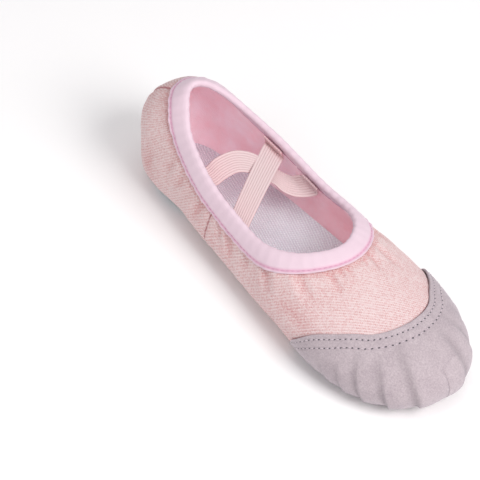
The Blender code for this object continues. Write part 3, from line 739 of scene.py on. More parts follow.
# The toe cap: mauve suede laid over the front of the canvas and sewn along its edge with two
# rows of thread, then pulled under and gathered in knife pleats against the front pad.
CAP_BEHIND_PAD_END = 0.0200
FRONT_PAD_LENGTH = 0.0720
FRONT_PAD_INSET = 0.0140
FRONT_PAD_MARGIN = 0.0085
FRONT_PAD_WIDEST = 0.55
CAP_STEPS = 190
CAP_ROWS = 84
CAP_ROW_INSETS = (0.0027, 0.0068)
CAP_STITCH = 0.0023
PLEAT_NAMES = ("place", "reach", "depth", "width")
LEFT_PLEATS = (
    (0.055, 0.84, 2.1, 0.085),
    (0.165, 0.90, 2.2, 0.100),
    (0.275, 0.80, 2.1, 0.100),
    (0.385, 0.78, 1.9, 0.100),
    (0.500, 0.60, 1.5, 0.100),
    (0.625, 0.46, 1.1, 0.110),
)
RIGHT_PLEATS = (
    (0.085, 0.90, 2.2, 0.100),
    (0.195, 0.80, 2.2, 0.100),
    (0.310, 0.88, 2.0, 0.100),
    (0.430, 0.70, 1.8, 0.105),
    (0.555, 0.56, 1.3, 0.105),
    (0.690, 0.42, 1.0, 0.110),
)


def resample(points, steps):
    """Points at equal distances along a line of points."""
    runs = np.concatenate([[0], np.cumsum(np.linalg.norm(np.diff(points, axis=0), axis=-1))])
    at = np.linspace(0, runs[-1], steps)
    return np.stack([np.interp(at, runs, points[:, axis]) for axis in range(points.shape[1])], -1)


def pad_outline(length, front_x, widest_share, margin, steps, grow=0.0):
    """Left half of an egg-shaped pad's outline, from its front end to its rear end."""
    widest_x = front_x - length * (1 - widest_share)
    half = last_section(np.array(widest_x))[0] - margin + grow
    turn = np.linspace(0, np.pi, steps)
    reach = np.where(np.cos(turn) > 0, length * (1 - widest_share) + grow, length * widest_share + grow)
    outline = np.stack([widest_x + reach * np.cos(turn), half * np.sin(turn)], -1)
    outline[0, 1] = 0
    outline[-1, 1] = 0
    return outline


def front_outline(steps, grow=0.0):
    return pad_outline(FRONT_PAD_LENGTH, TIP_X - FRONT_PAD_INSET, FRONT_PAD_WIDEST,
                       FRONT_PAD_MARGIN, steps, grow)


def cap_top_edge(steps):
    """The cap's edge over the vamp, from the middle of the top down to the side."""
    turns = column(CAP_EDGE, CAP_EDGE_NAMES, "turn")
    turn = np.linspace(turns[0], turns[-1], 8 * steps)
    back = smooth_read(turns, column(CAP_EDGE, CAP_EDGE_NAMES, "back"), turn)
    angle = np.radians(turn)
    direction = np.stack([0 * angle, np.sin(angle), np.cos(angle)], -1)
    edge = resample(skin(on_spine(TIP_X - back * CAP_LENGTH), direction), steps)
    edge[0, 1] = 0
    return edge


def cap_pad_edge(steps):
    """The cap's edge along the front pad, from the toe's middle back to the cap's corner."""
    outline = front_outline(8 * steps, TOUCH)
    outline = resample(outline[outline[:, 0] >= outline[-1, 0] + CAP_BEHIND_PAD_END], steps)
    return np.column_stack([outline, under_height(outline[:, 0], outline[:, 1])])


def pleat_lift(places, heights, pleats):
    """Lift of the knife pleats, and the painted shade deep in each pleat's crease."""
    lift = np.zeros((len(places), len(heights)))
    painted_pleat_shade = np.zeros_like(lift)
    for row in pleats:
        pleat = dict(zip(PLEAT_NAMES, row))
        lean = pleat["place"] + 0.04 * heights[None, :]
        ramp = 1 + (places[:, None] - lean) / pleat["width"]
        past = (places[:, None] - lean) / (0.008 + 0.03 * heights[None, :])
        across = np.where(ramp > 0, np.clip(ramp, 0, 1) ** 1.4, 0) * np.clip(1 - past, 0, 1) ** 1.5
        rise = np.clip(1 - heights / pleat["reach"], 0, 1)
        up = rise * (0.45 + 0.55 * np.clip(heights / 0.25, 0, 1))
        lift = np.maximum(lift, pleat["depth"] / 1000 * across * up[None, :])
        # Painted shade along each pleat's drop.
        painted_pleat_shade = np.maximum(painted_pleat_shade, np.exp(-(((past - 0.7) / 0.8) ** 2)) * rise[None, :])
        soft = np.exp(-(((places[:, None] - lean - 0.004) / 0.020) ** 2))
        soft_up = np.clip(1 - heights / (1.3 * pleat["reach"]), 0, 1)
        lift = lift - 0.00050 * soft * soft_up[None, :]
    return lift, painted_pleat_shade


def cap_half(side, pleats):
    """One half of the toe cap, seen from outside."""
    top_edge = cap_top_edge(CAP_STEPS)
    pad_edge = cap_pad_edge(CAP_STEPS)
    top_origin = on_spine(np.minimum(top_edge[:, 0], SPINE_END_X))
    pad_origin = on_spine(np.minimum(pad_edge[:, 0], SPINE_END_X))
    to_top = unit(top_edge - top_origin)
    to_pad = unit(pad_edge - pad_origin)
    share = np.linspace(0, 1, FINE_ROWS)[None, :]
    origin = (1 - share)[..., None] * top_origin[:, None] + share[..., None] * pad_origin[:, None]
    grid = skin(origin, unit(turn_between(to_top[:, None], to_pad[:, None], share)))
    grid[:, 0] = top_edge
    grid[:, -1] = pad_edge
    grid[0, :, 1] = 0
    grid = even_rows(grid, CAP_ROWS)
    normal = grid_normals(grid, top_origin[:, None])
    normal[0, :, 1] = 0
    places = np.linspace(0, 1, CAP_STEPS)
    heights = 1 - np.linspace(0, 1, CAP_ROWS)
    mirror = np.array([1, side, 1])
    points = grid * mirror
    lift, painted_pleat_shade = pleat_lift(places, heights, pleats)
    from_edge = np.concatenate([np.zeros((CAP_STEPS, 1)),
                                np.cumsum(np.linalg.norm(np.diff(grid, axis=1), axis=-1), 1)], 1)
    lift = lift + soft_waves(points, 0.022, 0.00022, 21) * np.clip(from_edge / 0.008, 0, 1)
    for inset in CAP_ROW_INSETS:
        lift = lift - 0.00022 * np.exp(-(((from_edge - inset) / 0.0006) ** 2))
    middle = (CAP_ROW_INSETS[0] + CAP_ROW_INSETS[1]) / 2
    lift = lift + 0.00012 * np.exp(-(((from_edge - middle) / 0.0012) ** 2))
    points = points + normal * mirror * (lift + 0.0012)[..., None]
    run = np.concatenate([[0], np.cumsum(np.linalg.norm(np.diff(top_edge, axis=0), axis=-1))])
    place = np.stack([np.broadcast_to(run[:, None] / CAP_STITCH, from_edge.shape), from_edge * 1000], -1)
    values = {"painted_pleat_shade": painted_pleat_shade}
    if side < 0:
        points = points[::-1]
        place = place[::-1]
        values = {key: value[::-1] for key, value in values.items()}
    piece = sheet_object("half", points, place, values, uv_name="stitch_line",
                         facing=points - on_spine(np.minimum(points[..., 0], SPINE_END_X)))
    return piece, points, place


# Nap of suede: short fibres that catch light in patches, a fine grain and pale brushed marks.
nap, given, result = new_group("suede_nap", {"Fibre": 1500.0, "Brushed": 120.0}, ("Height", "Tone"))
place = add_node(nap, "ShaderNodeTexCoord").outputs["Object"]
fibre = add_node(nap, "ShaderNodeTexNoise", Vector=place, Scale=given.outputs["Fibre"], Detail=5.0, Roughness=0.7)
brushed = add_node(nap, "ShaderNodeTexNoise", Vector=place, Scale=given.outputs["Brushed"],
                   Detail=5.0, Roughness=0.62, Distortion=0.6)
speck = add_node(nap, "ShaderNodeTexVoronoi", Vector=place, Scale=900.0)
speck_dark = add_node(nap, "ShaderNodeMapRange", i0=speck.outputs["Distance"], i1=0.0, i2=0.22, i3=1.0, i4=0.0)
nap_tone = maths(nap, "ADD", maths(nap, "MULTIPLY", fibre.outputs[0], 0.7),
                 maths(nap, "MULTIPLY", brushed.outputs[0], 0.3))
nap_tone = maths(nap, "SUBTRACT", nap_tone, maths(nap, "MULTIPLY", speck_dark.outputs[0], 0.10))
nap.links.new(nap_tone, result.inputs["Tone"])
nap.links.new(fibre.outputs[0], result.inputs["Height"])

# Needle holes: small pricks in rows, one at each end of a stitch, that the suede paints near black as the shade inside
# each hole.
holes, given, result = new_group(
    "needle_holes", {"Place": None, "First Row": 2.7, "Second Row": 6.8, "Pitch": 2.3, "Radius": 0.3}, ("Hole",))
parts = add_node(holes, "ShaderNodeSeparateXYZ", Vector=given.outputs["Place"])
along = maths(holes, "SUBTRACT", maths(holes, "FRACT", parts.outputs[0]), 0.5)
along = maths(holes, "MULTIPLY", maths(holes, "SUBTRACT", 0.5, maths(holes, "ABSOLUTE", along)), given.outputs["Pitch"])
nearest = None
for row_name in ("First Row", "Second Row"):
    across = maths(holes, "SUBTRACT", parts.outputs[1], given.outputs[row_name])
    squared = maths(holes, "ADD", maths(holes, "MULTIPLY", along, along), maths(holes, "MULTIPLY", across, across))
    distance = maths(holes, "SQRT", squared)
    nearest = distance if nearest is None else maths(holes, "MINIMUM", nearest, distance)
edge = maths(holes, "MULTIPLY", given.outputs["Radius"], 0.6)
hole = add_node(holes, "ShaderNodeMapRange", i0=nearest, i1=edge, i2=given.outputs["Radius"], i3=1.0, i4=0.0)
holes.links.new(hole.outputs[0], result.inputs["Hole"])


def suede_material(name, light, deep, rows, pitch, radius, paints_pleat_shade):
    """Suede with a short nap, needle pricks along its seams and shade deep in its folds."""
    material, tree, shader = new_material(name, 0.96, 0.35, (0.95, 0.93, 1.0, 1))
    nap_out = use_group(tree, "suede_nap", Fibre=1400.0, Brushed=110.0)
    stitch_place = add_node(tree, "ShaderNodeUVMap", uv_map="stitch_line").outputs[0]
    prick = use_group(tree, "needle_holes", Place=stitch_place, First_Row=rows[0] * 1000,
                      Second_Row=rows[1] * 1000, Pitch=pitch * 1000, Radius=radius)
    share = add_node(tree, "ShaderNodeMapRange", i0=nap_out["Tone"], i1=0.35, i2=0.65, i3=0.0, i4=1.0).outputs[0]
    colour = blend_colours(tree, share, deep, light)
    if paints_pleat_shade:
        # Painted shade: the suede is darkened deep in the pleats.
        painted_pleat_shade = add_node(tree, "ShaderNodeAttribute", attribute_name="painted_pleat_shade").outputs["Fac"]
        shade = tuple(0.45 * c for c in deep[:3]) + (1,)
        colour = blend_colours(tree, maths(tree, "MULTIPLY", painted_pleat_shade, 0.75), colour, shade)
    # Painted shade: each needle hole is painted near black.
    colour = blend_colours(tree, maths(tree, "MULTIPLY", prick["Hole"], 0.9), colour, (0.05, 0.045, 0.06, 1))
    height = maths(tree, "SUBTRACT", nap_out["Height"], maths(tree, "MULTIPLY", prick["Hole"], 1.5))
    finish_surface(tree, shader, colour, height, 0.00022)
    return material


def thread_material(name, colour, deep):
    """Twisted sewing thread."""
    material, tree, shader = new_material(name, 0.6, 0.3)
    mottle = use_group(tree, "soft_mottle", Broad=400.0, Fine=3000.0)
    finish_surface(tree, shader, blend_colours(tree, mottle["Patches"], colour, deep), mottle["Grain"], 0.00008)
    return material


def stitches(name, centres, ways, normals, length, width, material, sink=0.35):
    """A row of stitches: short threads that rise from one needle hole and dive into the next."""
    rings = 7
    sides = 8
    along = np.linspace(-0.5, 0.5, rings)
    arch = np.cos(np.pi * along) ** 0.5
    turn = np.linspace(0, 2 * np.pi, sides, endpoint=False)
    ways = unit(ways)
    normals = unit(normals - (normals * ways).sum(-1, keepdims=True) * ways)
    across = np.cross(ways, normals)
    verts = []
    for s, high in zip(along, arch):
        middle = centres + ways * s * length + normals * width * (high - 0.5 - sink)
        radius = width / 2 * (0.55 + 0.45 * high)
        for angle in turn:
            verts.append(middle + radius * (np.cos(angle) * across + np.sin(angle) * normals))
    verts = np.stack(verts, 1)
    faces = []
    for r in range(rings - 1):
        for k in range(sides):
            n = (k + 1) % sides
            faces.append((r * sides + k, r * sides + n, (r + 1) * sides + n, (r + 1) * sides + k))
    caps = [tuple(range(sides))[::-1], tuple(range((rings - 1) * sides, rings * sides))]
    mesh = bpy.data.meshes.new(name)
    count = rings * sides
    every = [tuple(i * count + v for v in face) for i in range(len(centres)) for face in faces + caps]
    mesh.from_pydata(verts.reshape(-1, 3), [], every)
    mesh.shade_smooth()
    mesh.materials.append(material)
    piece = bpy.data.objects.new(name, mesh)
    bpy.context.scene.collection.objects.link(piece)
    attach(piece, "root")
    return piece


def seam_points(grid, from_edge, inset):
    """The line that lies a distance inside the first row of a grid, with its normals."""
    line = []
    ways = []
    for points, distance in zip(grid, from_edge):
        line.append([np.interp(inset, distance, points[:, axis]) for axis in range(3)])
        ways.append([np.interp(inset + 0.0005, distance, points[:, axis]) for axis in range(3)])
    line = np.array(line)
    down = np.array(ways) - line
    along = np.gradient(line, axis=0)
    return line, along, unit(np.cross(along, down))


MAUVE_LIGHT = (0.570, 0.490, 0.515, 1)
MAUVE_DEEP = (0.370, 0.305, 0.335, 1)
mauve_suede = suede_material("mauve_cap_suede", MAUVE_LIGHT, MAUVE_DEEP, CAP_ROW_INSETS, CAP_STITCH, 0.42, True)
left_cap, left_points, left_place = cap_half(1, LEFT_PLEATS)
right_cap, right_points, right_place = cap_half(-1, RIGHT_PLEATS)
toe_cap = join_halves("suede_toe_cap", left_cap, right_cap)
toe_cap.data.materials.append(mauve_suede)
thicken(toe_cap, 0.0009, -1)
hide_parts("toe_cap")
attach(toe_cap, "root")

cap_thread = thread_material("mauve_thread", (0.66, 0.58, 0.62, 1), (0.50, 0.42, 0.46, 1))
for side, points, place in ((1, left_points, left_place), (-1, right_points[::-1], right_place[::-1])):
    for number, inset in enumerate(CAP_ROW_INSETS):
        line, along, normal = seam_points(points, place[..., 1] / 1000, inset)
        normal = normal * np.sign((normal * (line - on_spine(line[:, 0]))).sum(-1, keepdims=True))
        last = int(place[-1, 0, 0]) - 1
        at = np.arange(0, last) + 0.5
        centres = np.stack([np.interp(at, place[:, 0, 0], line[:, axis]) for axis in range(3)], -1)
        ways = np.stack([np.interp(at, place[:, 0, 0], along[:, axis]) for axis in range(3)], -1)
        ups = np.stack([np.interp(at, place[:, 0, 0], normal[:, axis]) for axis in range(3)], -1)
        label = "cap_stitches_%s_%d" % ("left" if side > 0 else "right", number + 1)
        stitches(label, centres, ways, ups, CAP_STITCH * 0.66, 0.00050, cap_thread, 0.0)

# The split sole: two egg-shaped pads of blue-grey suede, one under the ball and one under the
# heel, glued on and sewn through with two rows of white thread that sink into the nap.
HEEL_PAD_LENGTH = 0.0480
HEEL_PAD_INSET = 0.0075
HEEL_PAD_MARGIN = 0.0045
HEEL_PAD_WIDEST = 0.50
PAD_STEPS = 200
PAD_RINGS = 46
PAD_ROW_INSETS = (0.0030, 0.0085)
PAD_STITCH = 0.0045
PAD_EDGE_ROUND = 0.0006


def heel_outline(steps, grow=0.0):
    return pad_outline(HEEL_PAD_LENGTH, BACK_X + HEEL_PAD_INSET + HEEL_PAD_LENGTH,
                       HEEL_PAD_WIDEST, HEEL_PAD_MARGIN, steps, grow)


def pad_top(x, y):
    """A pad's upper face, kept clear of the canvas."""
    step = 0.0003
    along = under_height(x + step, y) - under_height(x - step, y)
    across = under_height(x, y + step) - under_height(x, y - step)
    return under_height(x, y) - TOUCH * np.hypot(1, np.hypot(along, across) / (2 * step))


def build_pad(name, node, outline, material, thread):
    """One sole pad with its two stitched rows."""
    half = resample(outline, PAD_STEPS)
    loop = np.concatenate([half, half[-2:0:-1] * np.array([1, -1])])
    runs = np.linalg.norm(np.diff(np.concatenate([loop, loop[:1]]), axis=0), axis=-1).sum()
    count = round(runs / PAD_STITCH)
    centre = np.array([(outline[0, 0] + outline[-1, 0]) / 2, 0])
    reach = np.linalg.norm(loop - centre, axis=-1)
    shares = np.linspace(0, 1, PAD_RINGS) ** 0.7
    shares = shares * 0.985
    grid = centre + (loop - centre)[:, None] * (1 - shares)[None, :, None]
    inset = reach[:, None] * shares[None, :]
    turn = np.linspace(0, 1, len(loop), endpoint=False)
    top = pad_top(grid[..., 0], grid[..., 1])
    edge_drop = np.clip(1 - inset / PAD_EDGE_ROUND, 0, 1) ** 2
    low = top - PAD_SUEDE + 0.0005 * edge_drop
    high = top - 0.0003 * edge_drop
    for row in PAD_ROW_INSETS:
        low = low + 0.00035 * np.exp(-(((inset - row) / 0.0009) ** 2))
    low = np.maximum(low, 0.0)
    under = np.concatenate([grid, low[..., None]], -1)
    over = np.concatenate([grid, high[..., None]], -1)
    whole = np.concatenate([over[:, ::-1], under], 1)
    place = np.stack([np.broadcast_to(turn[:, None] * count, inset.shape), inset * 1000], -1)
    place = np.concatenate([place[:, ::-1] + np.array([0, 100]), place], 1)
    piece = sheet_object(name, whole, place, closed=True, uv_name="stitch_line")
    layer = piece.data.uv_layers["stitch_line"]
    values = np.empty(len(layer.data) * 2)
    layer.data.foreach_get("uv", values)
    values = values.reshape(-1, 4, 2)
    wrap = values[..., 0].max(1) - values[..., 0].min(1) > count / 2
    values[wrap, :, 0] = np.where(values[wrap, :, 0] < count / 2, values[wrap, :, 0] + count, values[wrap, :, 0])
    layer.data.foreach_set("uv", values.ravel())
    piece.data.shade_smooth()
    bm = bmesh.new()
    bm.from_mesh(piece.data)
    edges = [edge for edge in bm.edges if edge.is_boundary]
    bmesh.ops.holes_fill(bm, edges=edges)
    bmesh.ops.recalc_face_normals(bm, faces=bm.faces)
    bm.to_mesh(piece.data)
    bm.free()
    piece.data.materials.append(material)
    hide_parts(node)
    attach(piece, "root")
    closed = np.concatenate([under, under[:1]])
    for number, row in enumerate(PAD_ROW_INSETS):
        line, _, _ = seam_points(closed, np.concatenate([inset, inset[:1]]), row)
        at = (np.arange(count) + 0.5) / count * len(loop)
        steps = np.arange(len(loop) + 1)
        centres = np.stack([np.interp(at, steps, line[:, axis]) for axis in range(3)], -1)
        along = np.gradient(line, axis=0)
        ways = np.stack([np.interp(at, steps, along[:, axis]) for axis in range(3)], -1)
        ups = np.zeros_like(centres)
        ups[:, 2] = -1
        length = np.linalg.norm(np.diff(line, axis=0), axis=-1).sum() / count
        stitches("%s_stitches_%d" % (name, number + 1), centres, ways, ups, length * 0.70, 0.00060, thread, 0.75)
    return piece


GREY_LIGHT = (0.560, 0.615, 0.655, 1)
GREY_DEEP = (0.420, 0.475, 0.520, 1)
grey_suede = suede_material("grey_sole_suede", GREY_LIGHT, GREY_DEEP, PAD_ROW_INSETS, PAD_STITCH, 0.55, False)
white_thread = thread_material("white_thread", (0.86, 0.88, 0.90, 1), (0.70, 0.73, 0.76, 1))
build_pad("front_sole_pad", "sole_front", front_outline(400), grey_suede, white_thread)
build_pad("heel_sole_pad", "sole_heel", heel_outline(400), grey_suede, white_thread)

# The insole: a thin felt sole covered in white knit with rows of small raised dots, glued in
# over the turned-in canvas. It curls up a little at the walls.
INSOLE_FELT = 0.0015
INSOLE_INSET = 0.0055
INSOLE_STEPS = 260
INSOLE_ROWS = 90


def insole_material():
    """White-lilac knit: small raised dots in staggered rows, with painted shade in grey-lilac between them."""
    material, tree, shader = new_material("lilac_insole_knit", 0.9, 0.3, (0.95, 0.93, 1, 1))
    place = add_node(tree, "ShaderNodeTexCoord").outputs["Object"]
    parts = add_node(tree, "ShaderNodeSeparateXYZ", Vector=place)
    mottle = use_group(tree, "soft_mottle", Broad=60.0, Fine=900.0)
    stray = maths(tree, "MULTIPLY", mottle["Grain"], 2.2)
    slanted = maths(tree, "ADD", parts.outputs[0], maths(tree, "MULTIPLY", parts.outputs[1], 0.4))
    upright = maths(tree, "SUBTRACT", parts.outputs[1], maths(tree, "MULTIPLY", parts.outputs[0], 0.4))
    u = maths(tree, "ADD", maths(tree, "MULTIPLY", slanted, 2 * np.pi / 0.0021), stray)
    v = maths(tree, "MULTIPLY", upright, 2 * np.pi / 0.0017)
    dots = maths(tree, "ADD", maths(tree, "COSINE", maths(tree, "ADD", u, v)),
                 maths(tree, "MULTIPLY", maths(tree, "COSINE", maths(tree, "SUBTRACT", v, u)), 0.5))
    dots = add_node(tree, "ShaderNodeMapRange", i0=dots, i1=-1.0, i2=1.3, i3=0.0, i4=1.0).outputs[0]
    # Painted shade: grey-lilac between the raised dots; the broad patches are random tone.
    share = maths(tree, "ADD", maths(tree, "MULTIPLY", dots, 0.45), maths(tree, "MULTIPLY", mottle["Patches"], 0.7))
    colour = blend_colours(tree, share, (0.64, 0.58, 0.68, 1), (0.92, 0.97, 1.00, 1))
    finish_surface(tree, shader, colour, dots, 0.0003)
    return material


reach = INSOLE_INSET + CANVAS
share = (1 - np.cos(np.linspace(0, np.pi, INSOLE_STEPS))) / 2
insole_x = BACK_X + reach + (FORM_LENGTH - 2 * reach) * share
insole_half = np.maximum(last_section(insole_x)[0] - INSOLE_INSET, 0)
across = np.linspace(-1, 1, INSOLE_ROWS)
across = np.sign(across) * (1 - (1 - np.abs(across)) ** 1.3)
insole_y = insole_half[:, None] * across[None, :]
insole_x = insole_x[:, None] + 0 * insole_y
insole_grid = np.stack([insole_x, insole_y, under_height(insole_x, insole_y)], -1)
insole_normal = grid_normals(insole_grid, insole_grid + np.array([0, 0, -0.01]))
insole_lift = CANVAS + TOUCH + 0.0001 + soft_waves(insole_grid, 0.03, 0.0001, 31)
insole = sheet_object("knit_insole", insole_grid + insole_normal * insole_lift[..., None])
insole.data.shade_smooth()
insole.data.materials.append(insole_material())
thicken(insole, INSOLE_FELT, 1)
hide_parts("insole")
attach(insole, "root")

# The throat binding: lilac cotton tape folded over the collar's raw edge and sewn through with
# a row of deeper pink stitches near its lower edges. Its ends meet at the middle of the back.
BINDING_OUTSIDE = 0.0086
BINDING_INSIDE = 0.0070
TAPE = 0.0006
BINDING_STEPS = 330
STITCH_FROM_EDGE = 0.0013
BINDING_STITCH = 0.0024


def last_normal(points):
    """Outward direction of the last's surface at points on it."""
    origin = on_spine(np.clip(points[..., 0], SPINE_START_X, SPINE_END_X))
    outward = unit(points - origin)
    along = np.zeros_like(points)
    along[..., 0] = 1
    along = np.where(np.abs(outward[..., 0:1]) > 0.8, np.array([0.0, 1.0, 0.0]), along)
    first = unit(np.cross(outward, along)) * 0.0003
    second = unit(np.cross(outward, first)) * 0.0003
    normal = unit(np.cross(on_last(points + first) - on_last(points - first),
                           on_last(points + second) - on_last(points - second)))
    return normal * np.sign((normal * outward).sum(-1, keepdims=True))


def smooth_round(values, passes):
    """Even out values round the collar."""
    for _ in range(passes):
        inner = (values[:-2] + 2 * values[1:-1] + values[2:]) / 4
        values = np.concatenate([values[:1], inner, values[-1:]])
    return values


def collar_band(steps, distances):
    """Points and normals at distances below the collar's edge, square to that edge."""
    line = resample(collar_line(4 * steps)[0], steps)
    line[0, 1] = 0
    line[-1, 1] = 0
    flip = np.array([1, -1, 1])
    points = line
    bases = []
    normals = []
    previous = 0.0
    for distance in distances:
        if distance > 0:
            whole = np.concatenate([points[1:2] * flip, points, points[-2:-1] * flip])
            along = unit(np.gradient(whole, axis=0)[1:-1])
            downward = unit(np.cross(along, normals[-1]))
            downward = downward * -np.sign(downward[..., 2:3])
            points = on_last(points + downward * (distance - previous))
            points[0, 1] = 0
            points[-1, 1] = 0
            previous = distance
        bases.append(points)
        normal = smooth_round(last_normal(points), 6)
        normal[0, 1] = 0
        normal[-1, 1] = 0
        normals.append(unit(normal))
    return np.stack(bases, 1), np.stack(normals, 1)


def both_sides(grid):
    """A closed loop from the left half's lines, going on round the right half."""
    mirror = np.array([1, -1, 1])
    return np.concatenate([grid, grid[-2:0:-1] * mirror])


def tape_material():
    """Smooth lilac-pink cotton tape, a little deeper along its sewn edge."""
    material, tree, shader = new_material("lilac_binding_tape", 0.7, 0.3, (1, 0.92, 1, 1))
    mottle = use_group(tree, "soft_mottle", Broad=60.0, Fine=1600.0)
    pressed = add_node(tree, "ShaderNodeAttribute", attribute_name="pressed").outputs["Fac"]
    colour = blend_colours(tree, mottle["Patches"], (0.810, 0.645, 0.725, 1), (0.740, 0.560, 0.640, 1))
    colour = blend_colours(tree, maths(tree, "MULTIPLY", pressed, 0.6), colour, (0.680, 0.270, 0.430, 1))
    place = add_node(tree, "ShaderNodeUVMap", uv_map="cloth").outputs[0]
    weave_out = use_group(tree, "canvas_weave", Place=place, Pitch=0.35)
    height = maths(tree, "ADD", maths(tree, "MULTIPLY", weave_out["Height"], 0.3), mottle["Grain"])
    finish_surface(tree, shader, colour, height, 0.00006)
    return material


distances = np.unique(np.concatenate([np.linspace(0, BINDING_OUTSIDE, 19), np.linspace(0, BINDING_INSIDE, 15)]))
bases, normals = collar_band(BINDING_STEPS, distances)
normals = both_sides(normals)
bases = settle_heel(both_sides(bases), normals)
outside = np.linspace(BINDING_OUTSIDE, 0, 19)[:-1]
inside = np.linspace(0, BINDING_INSIDE, 15)[1:]
up = unit(bases[:, 0] - bases[:, 1])
round_run = np.concatenate([[0], np.cumsum(np.linalg.norm(np.diff(bases[:, 0], axis=0), axis=-1))])
ripple = 0.00012 * np.sin(round_run / 0.0024 * 2 * np.pi / 2) + soft_waves(bases[:, 0], 0.012, 0.00012, 41)
surface = []
inner_surface = []
pressed = []
down_run = []
BASE_OFF = 0.0001
for distance in outside:
    row = np.searchsorted(distances, distance - 1e-7)
    sewn = np.exp(-(((BINDING_OUTSIDE - distance - STITCH_FROM_EDGE) / 0.0007) ** 2))
    lip = np.clip(1 - (BINDING_OUTSIDE - distance) / STITCH_FROM_EDGE, 0, 1)
    puff = 0.0004 * np.sin(np.pi * np.clip((BINDING_OUTSIDE - distance - 0.001) / 0.010, 0, 1)) ** 0.7
    off = BASE_OFF + TAPE + puff - 0.0003 * sewn + ripple * (0.4 + lip) * 1.2
    surface.append(bases[:, row] + normals[:, row] * off[:, None])
    pressed.append(sewn + 0 * ripple)
    down_run.append(-distance)
FOLD = 11
fold_radius = CANVAS / 2 + BASE_OFF + TAPE + 0.0002
for turn in np.linspace(0, np.pi, FOLD):
    middle = bases[:, 0] - normals[:, 0] * CANVAS / 2
    tall = 0.0002 + 0.8 * fold_radius + ripple
    surface.append(middle + up * (np.sin(turn) * tall)[:, None]
                   + normals[:, 0] * np.cos(turn) * (fold_radius + ripple * 0.5)[:, None])
    pressed.append(0 * ripple)
    down_run.append(turn / np.pi * 0.004)
for distance in inside:
    row = np.searchsorted(distances, distance - 1e-7)
    sewn = np.exp(-(((BINDING_INSIDE - distance - 0.0007) / 0.0008) ** 2))
    puff = 0.0003 * np.sin(np.pi * np.clip((BINDING_INSIDE - distance - 0.001) / 0.009, 0, 1)) ** 0.7
    off = CANVAS + BASE_OFF + TAPE + puff - 0.0003 * sewn + ripple * 0.5
    surface.append(bases[:, row] - normals[:, row] * off[:, None])
    pressed.append(1.7 * sewn + 0 * ripple)
    down_run.append(0.004 + distance)
surface = np.stack(surface, 1)
pressed = np.stack(pressed, 1)
tape_place = np.stack([np.broadcast_to(round_run[:, None], surface.shape[:2]),
                       np.broadcast_to(np.array(down_run)[None, :], surface.shape[:2])], -1) * 1000
binding = sheet_object("folded_tape_binding", surface[:, ::-1], tape_place[:, ::-1],
                       {"pressed": pressed[:, ::-1]}, closed=True,
                       facing=(surface - (bases[:, :1] - normals[:, :1] * CANVAS / 2))[:, ::-1])
binding.data.shade_smooth()
binding.data.materials.append(tape_material())
thicken(binding, TAPE * 0.9, -1)
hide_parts("throat_binding")
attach(binding, "root")

rose_thread = thread_material("rose_thread", (0.72, 0.40, 0.55, 1), (0.60, 0.28, 0.42, 1))
for label, inset, sign in (("outer", STITCH_FROM_EDGE, 1), ("inner", 0.0010, -1)):
    if sign > 0:
        grid = surface[:, :18]
        depth = np.broadcast_to(BINDING_OUTSIDE - outside[None, :], grid.shape[:2])
    else:
        grid = surface[:, -14:][:, ::-1]
        depth = np.broadcast_to(BINDING_INSIDE - inside[::-1][None, :], grid.shape[:2])
    line, _, _ = seam_points(grid, depth, inset)
    line = np.concatenate([line, line[:1]])
    run = np.concatenate([[0], np.cumsum(np.linalg.norm(np.diff(line, axis=0), axis=-1))])
    count = round(run[-1] / BINDING_STITCH)
    at = (np.arange(count) + 0.5) / count * run[-1]
    centres = np.stack([np.interp(at, run, line[:, axis]) for axis in range(3)], -1)
    along = np.gradient(line, axis=0)
    ways = np.stack([np.interp(at, run, along[:, axis]) for axis in range(3)], -1)
    side_rows = np.searchsorted(distances, 0.005)
    face = np.concatenate([normals[:, side_rows], normals[:1, side_rows]]) * sign
    ups = np.stack([np.interp(at, run, face[:, axis]) for axis in range(3)], -1)
    stitches("binding_stitches_" + label, centres, ways, ups, BINDING_STITCH * 0.74, 0.00034, rose_thread, 0.15)

# The two elastics: flat ribbed bands 10 mm wide, sewn under the binding at both sides and
# crossed over the instep. The lower one hangs slack, the upper one lies over it.
ELASTIC = 0.0010
ELASTIC_WIDTH = 0.0100
ELASTIC_BACK = 0.0555
ELASTIC_FRONT = 0.0815
ELASTIC_SEWN = 0.0075
RIB_COUNT = 9
BAND_ACROSS = 64
BAND_STEPS = 150


def inner_wall(x, below, inset, side):
    """A point inside the upper at x, below the collar's edge and in from the outside."""
    half, _, widest, ridge = last_section(np.array(x))
    z = np.linspace(collar_height(np.array(x)), widest, 60)
    y = half * bulge((z - widest) / (ridge - widest), TOP_POWER)
    runs = np.concatenate([[0], np.cumsum(np.hypot(np.diff(y), np.diff(z)))])
    slope_y = np.interp(below, runs, np.gradient(y, runs))
    slope_z = np.interp(below, runs, np.gradient(z, runs))
    steep = np.hypot(slope_y, slope_z)
    point_y = np.interp(below, runs, y) + inset * slope_z / steep
    point_z = np.interp(below, runs, z) - inset * slope_y / steep
    return np.array([x, side * point_y, FLOOR + point_z])


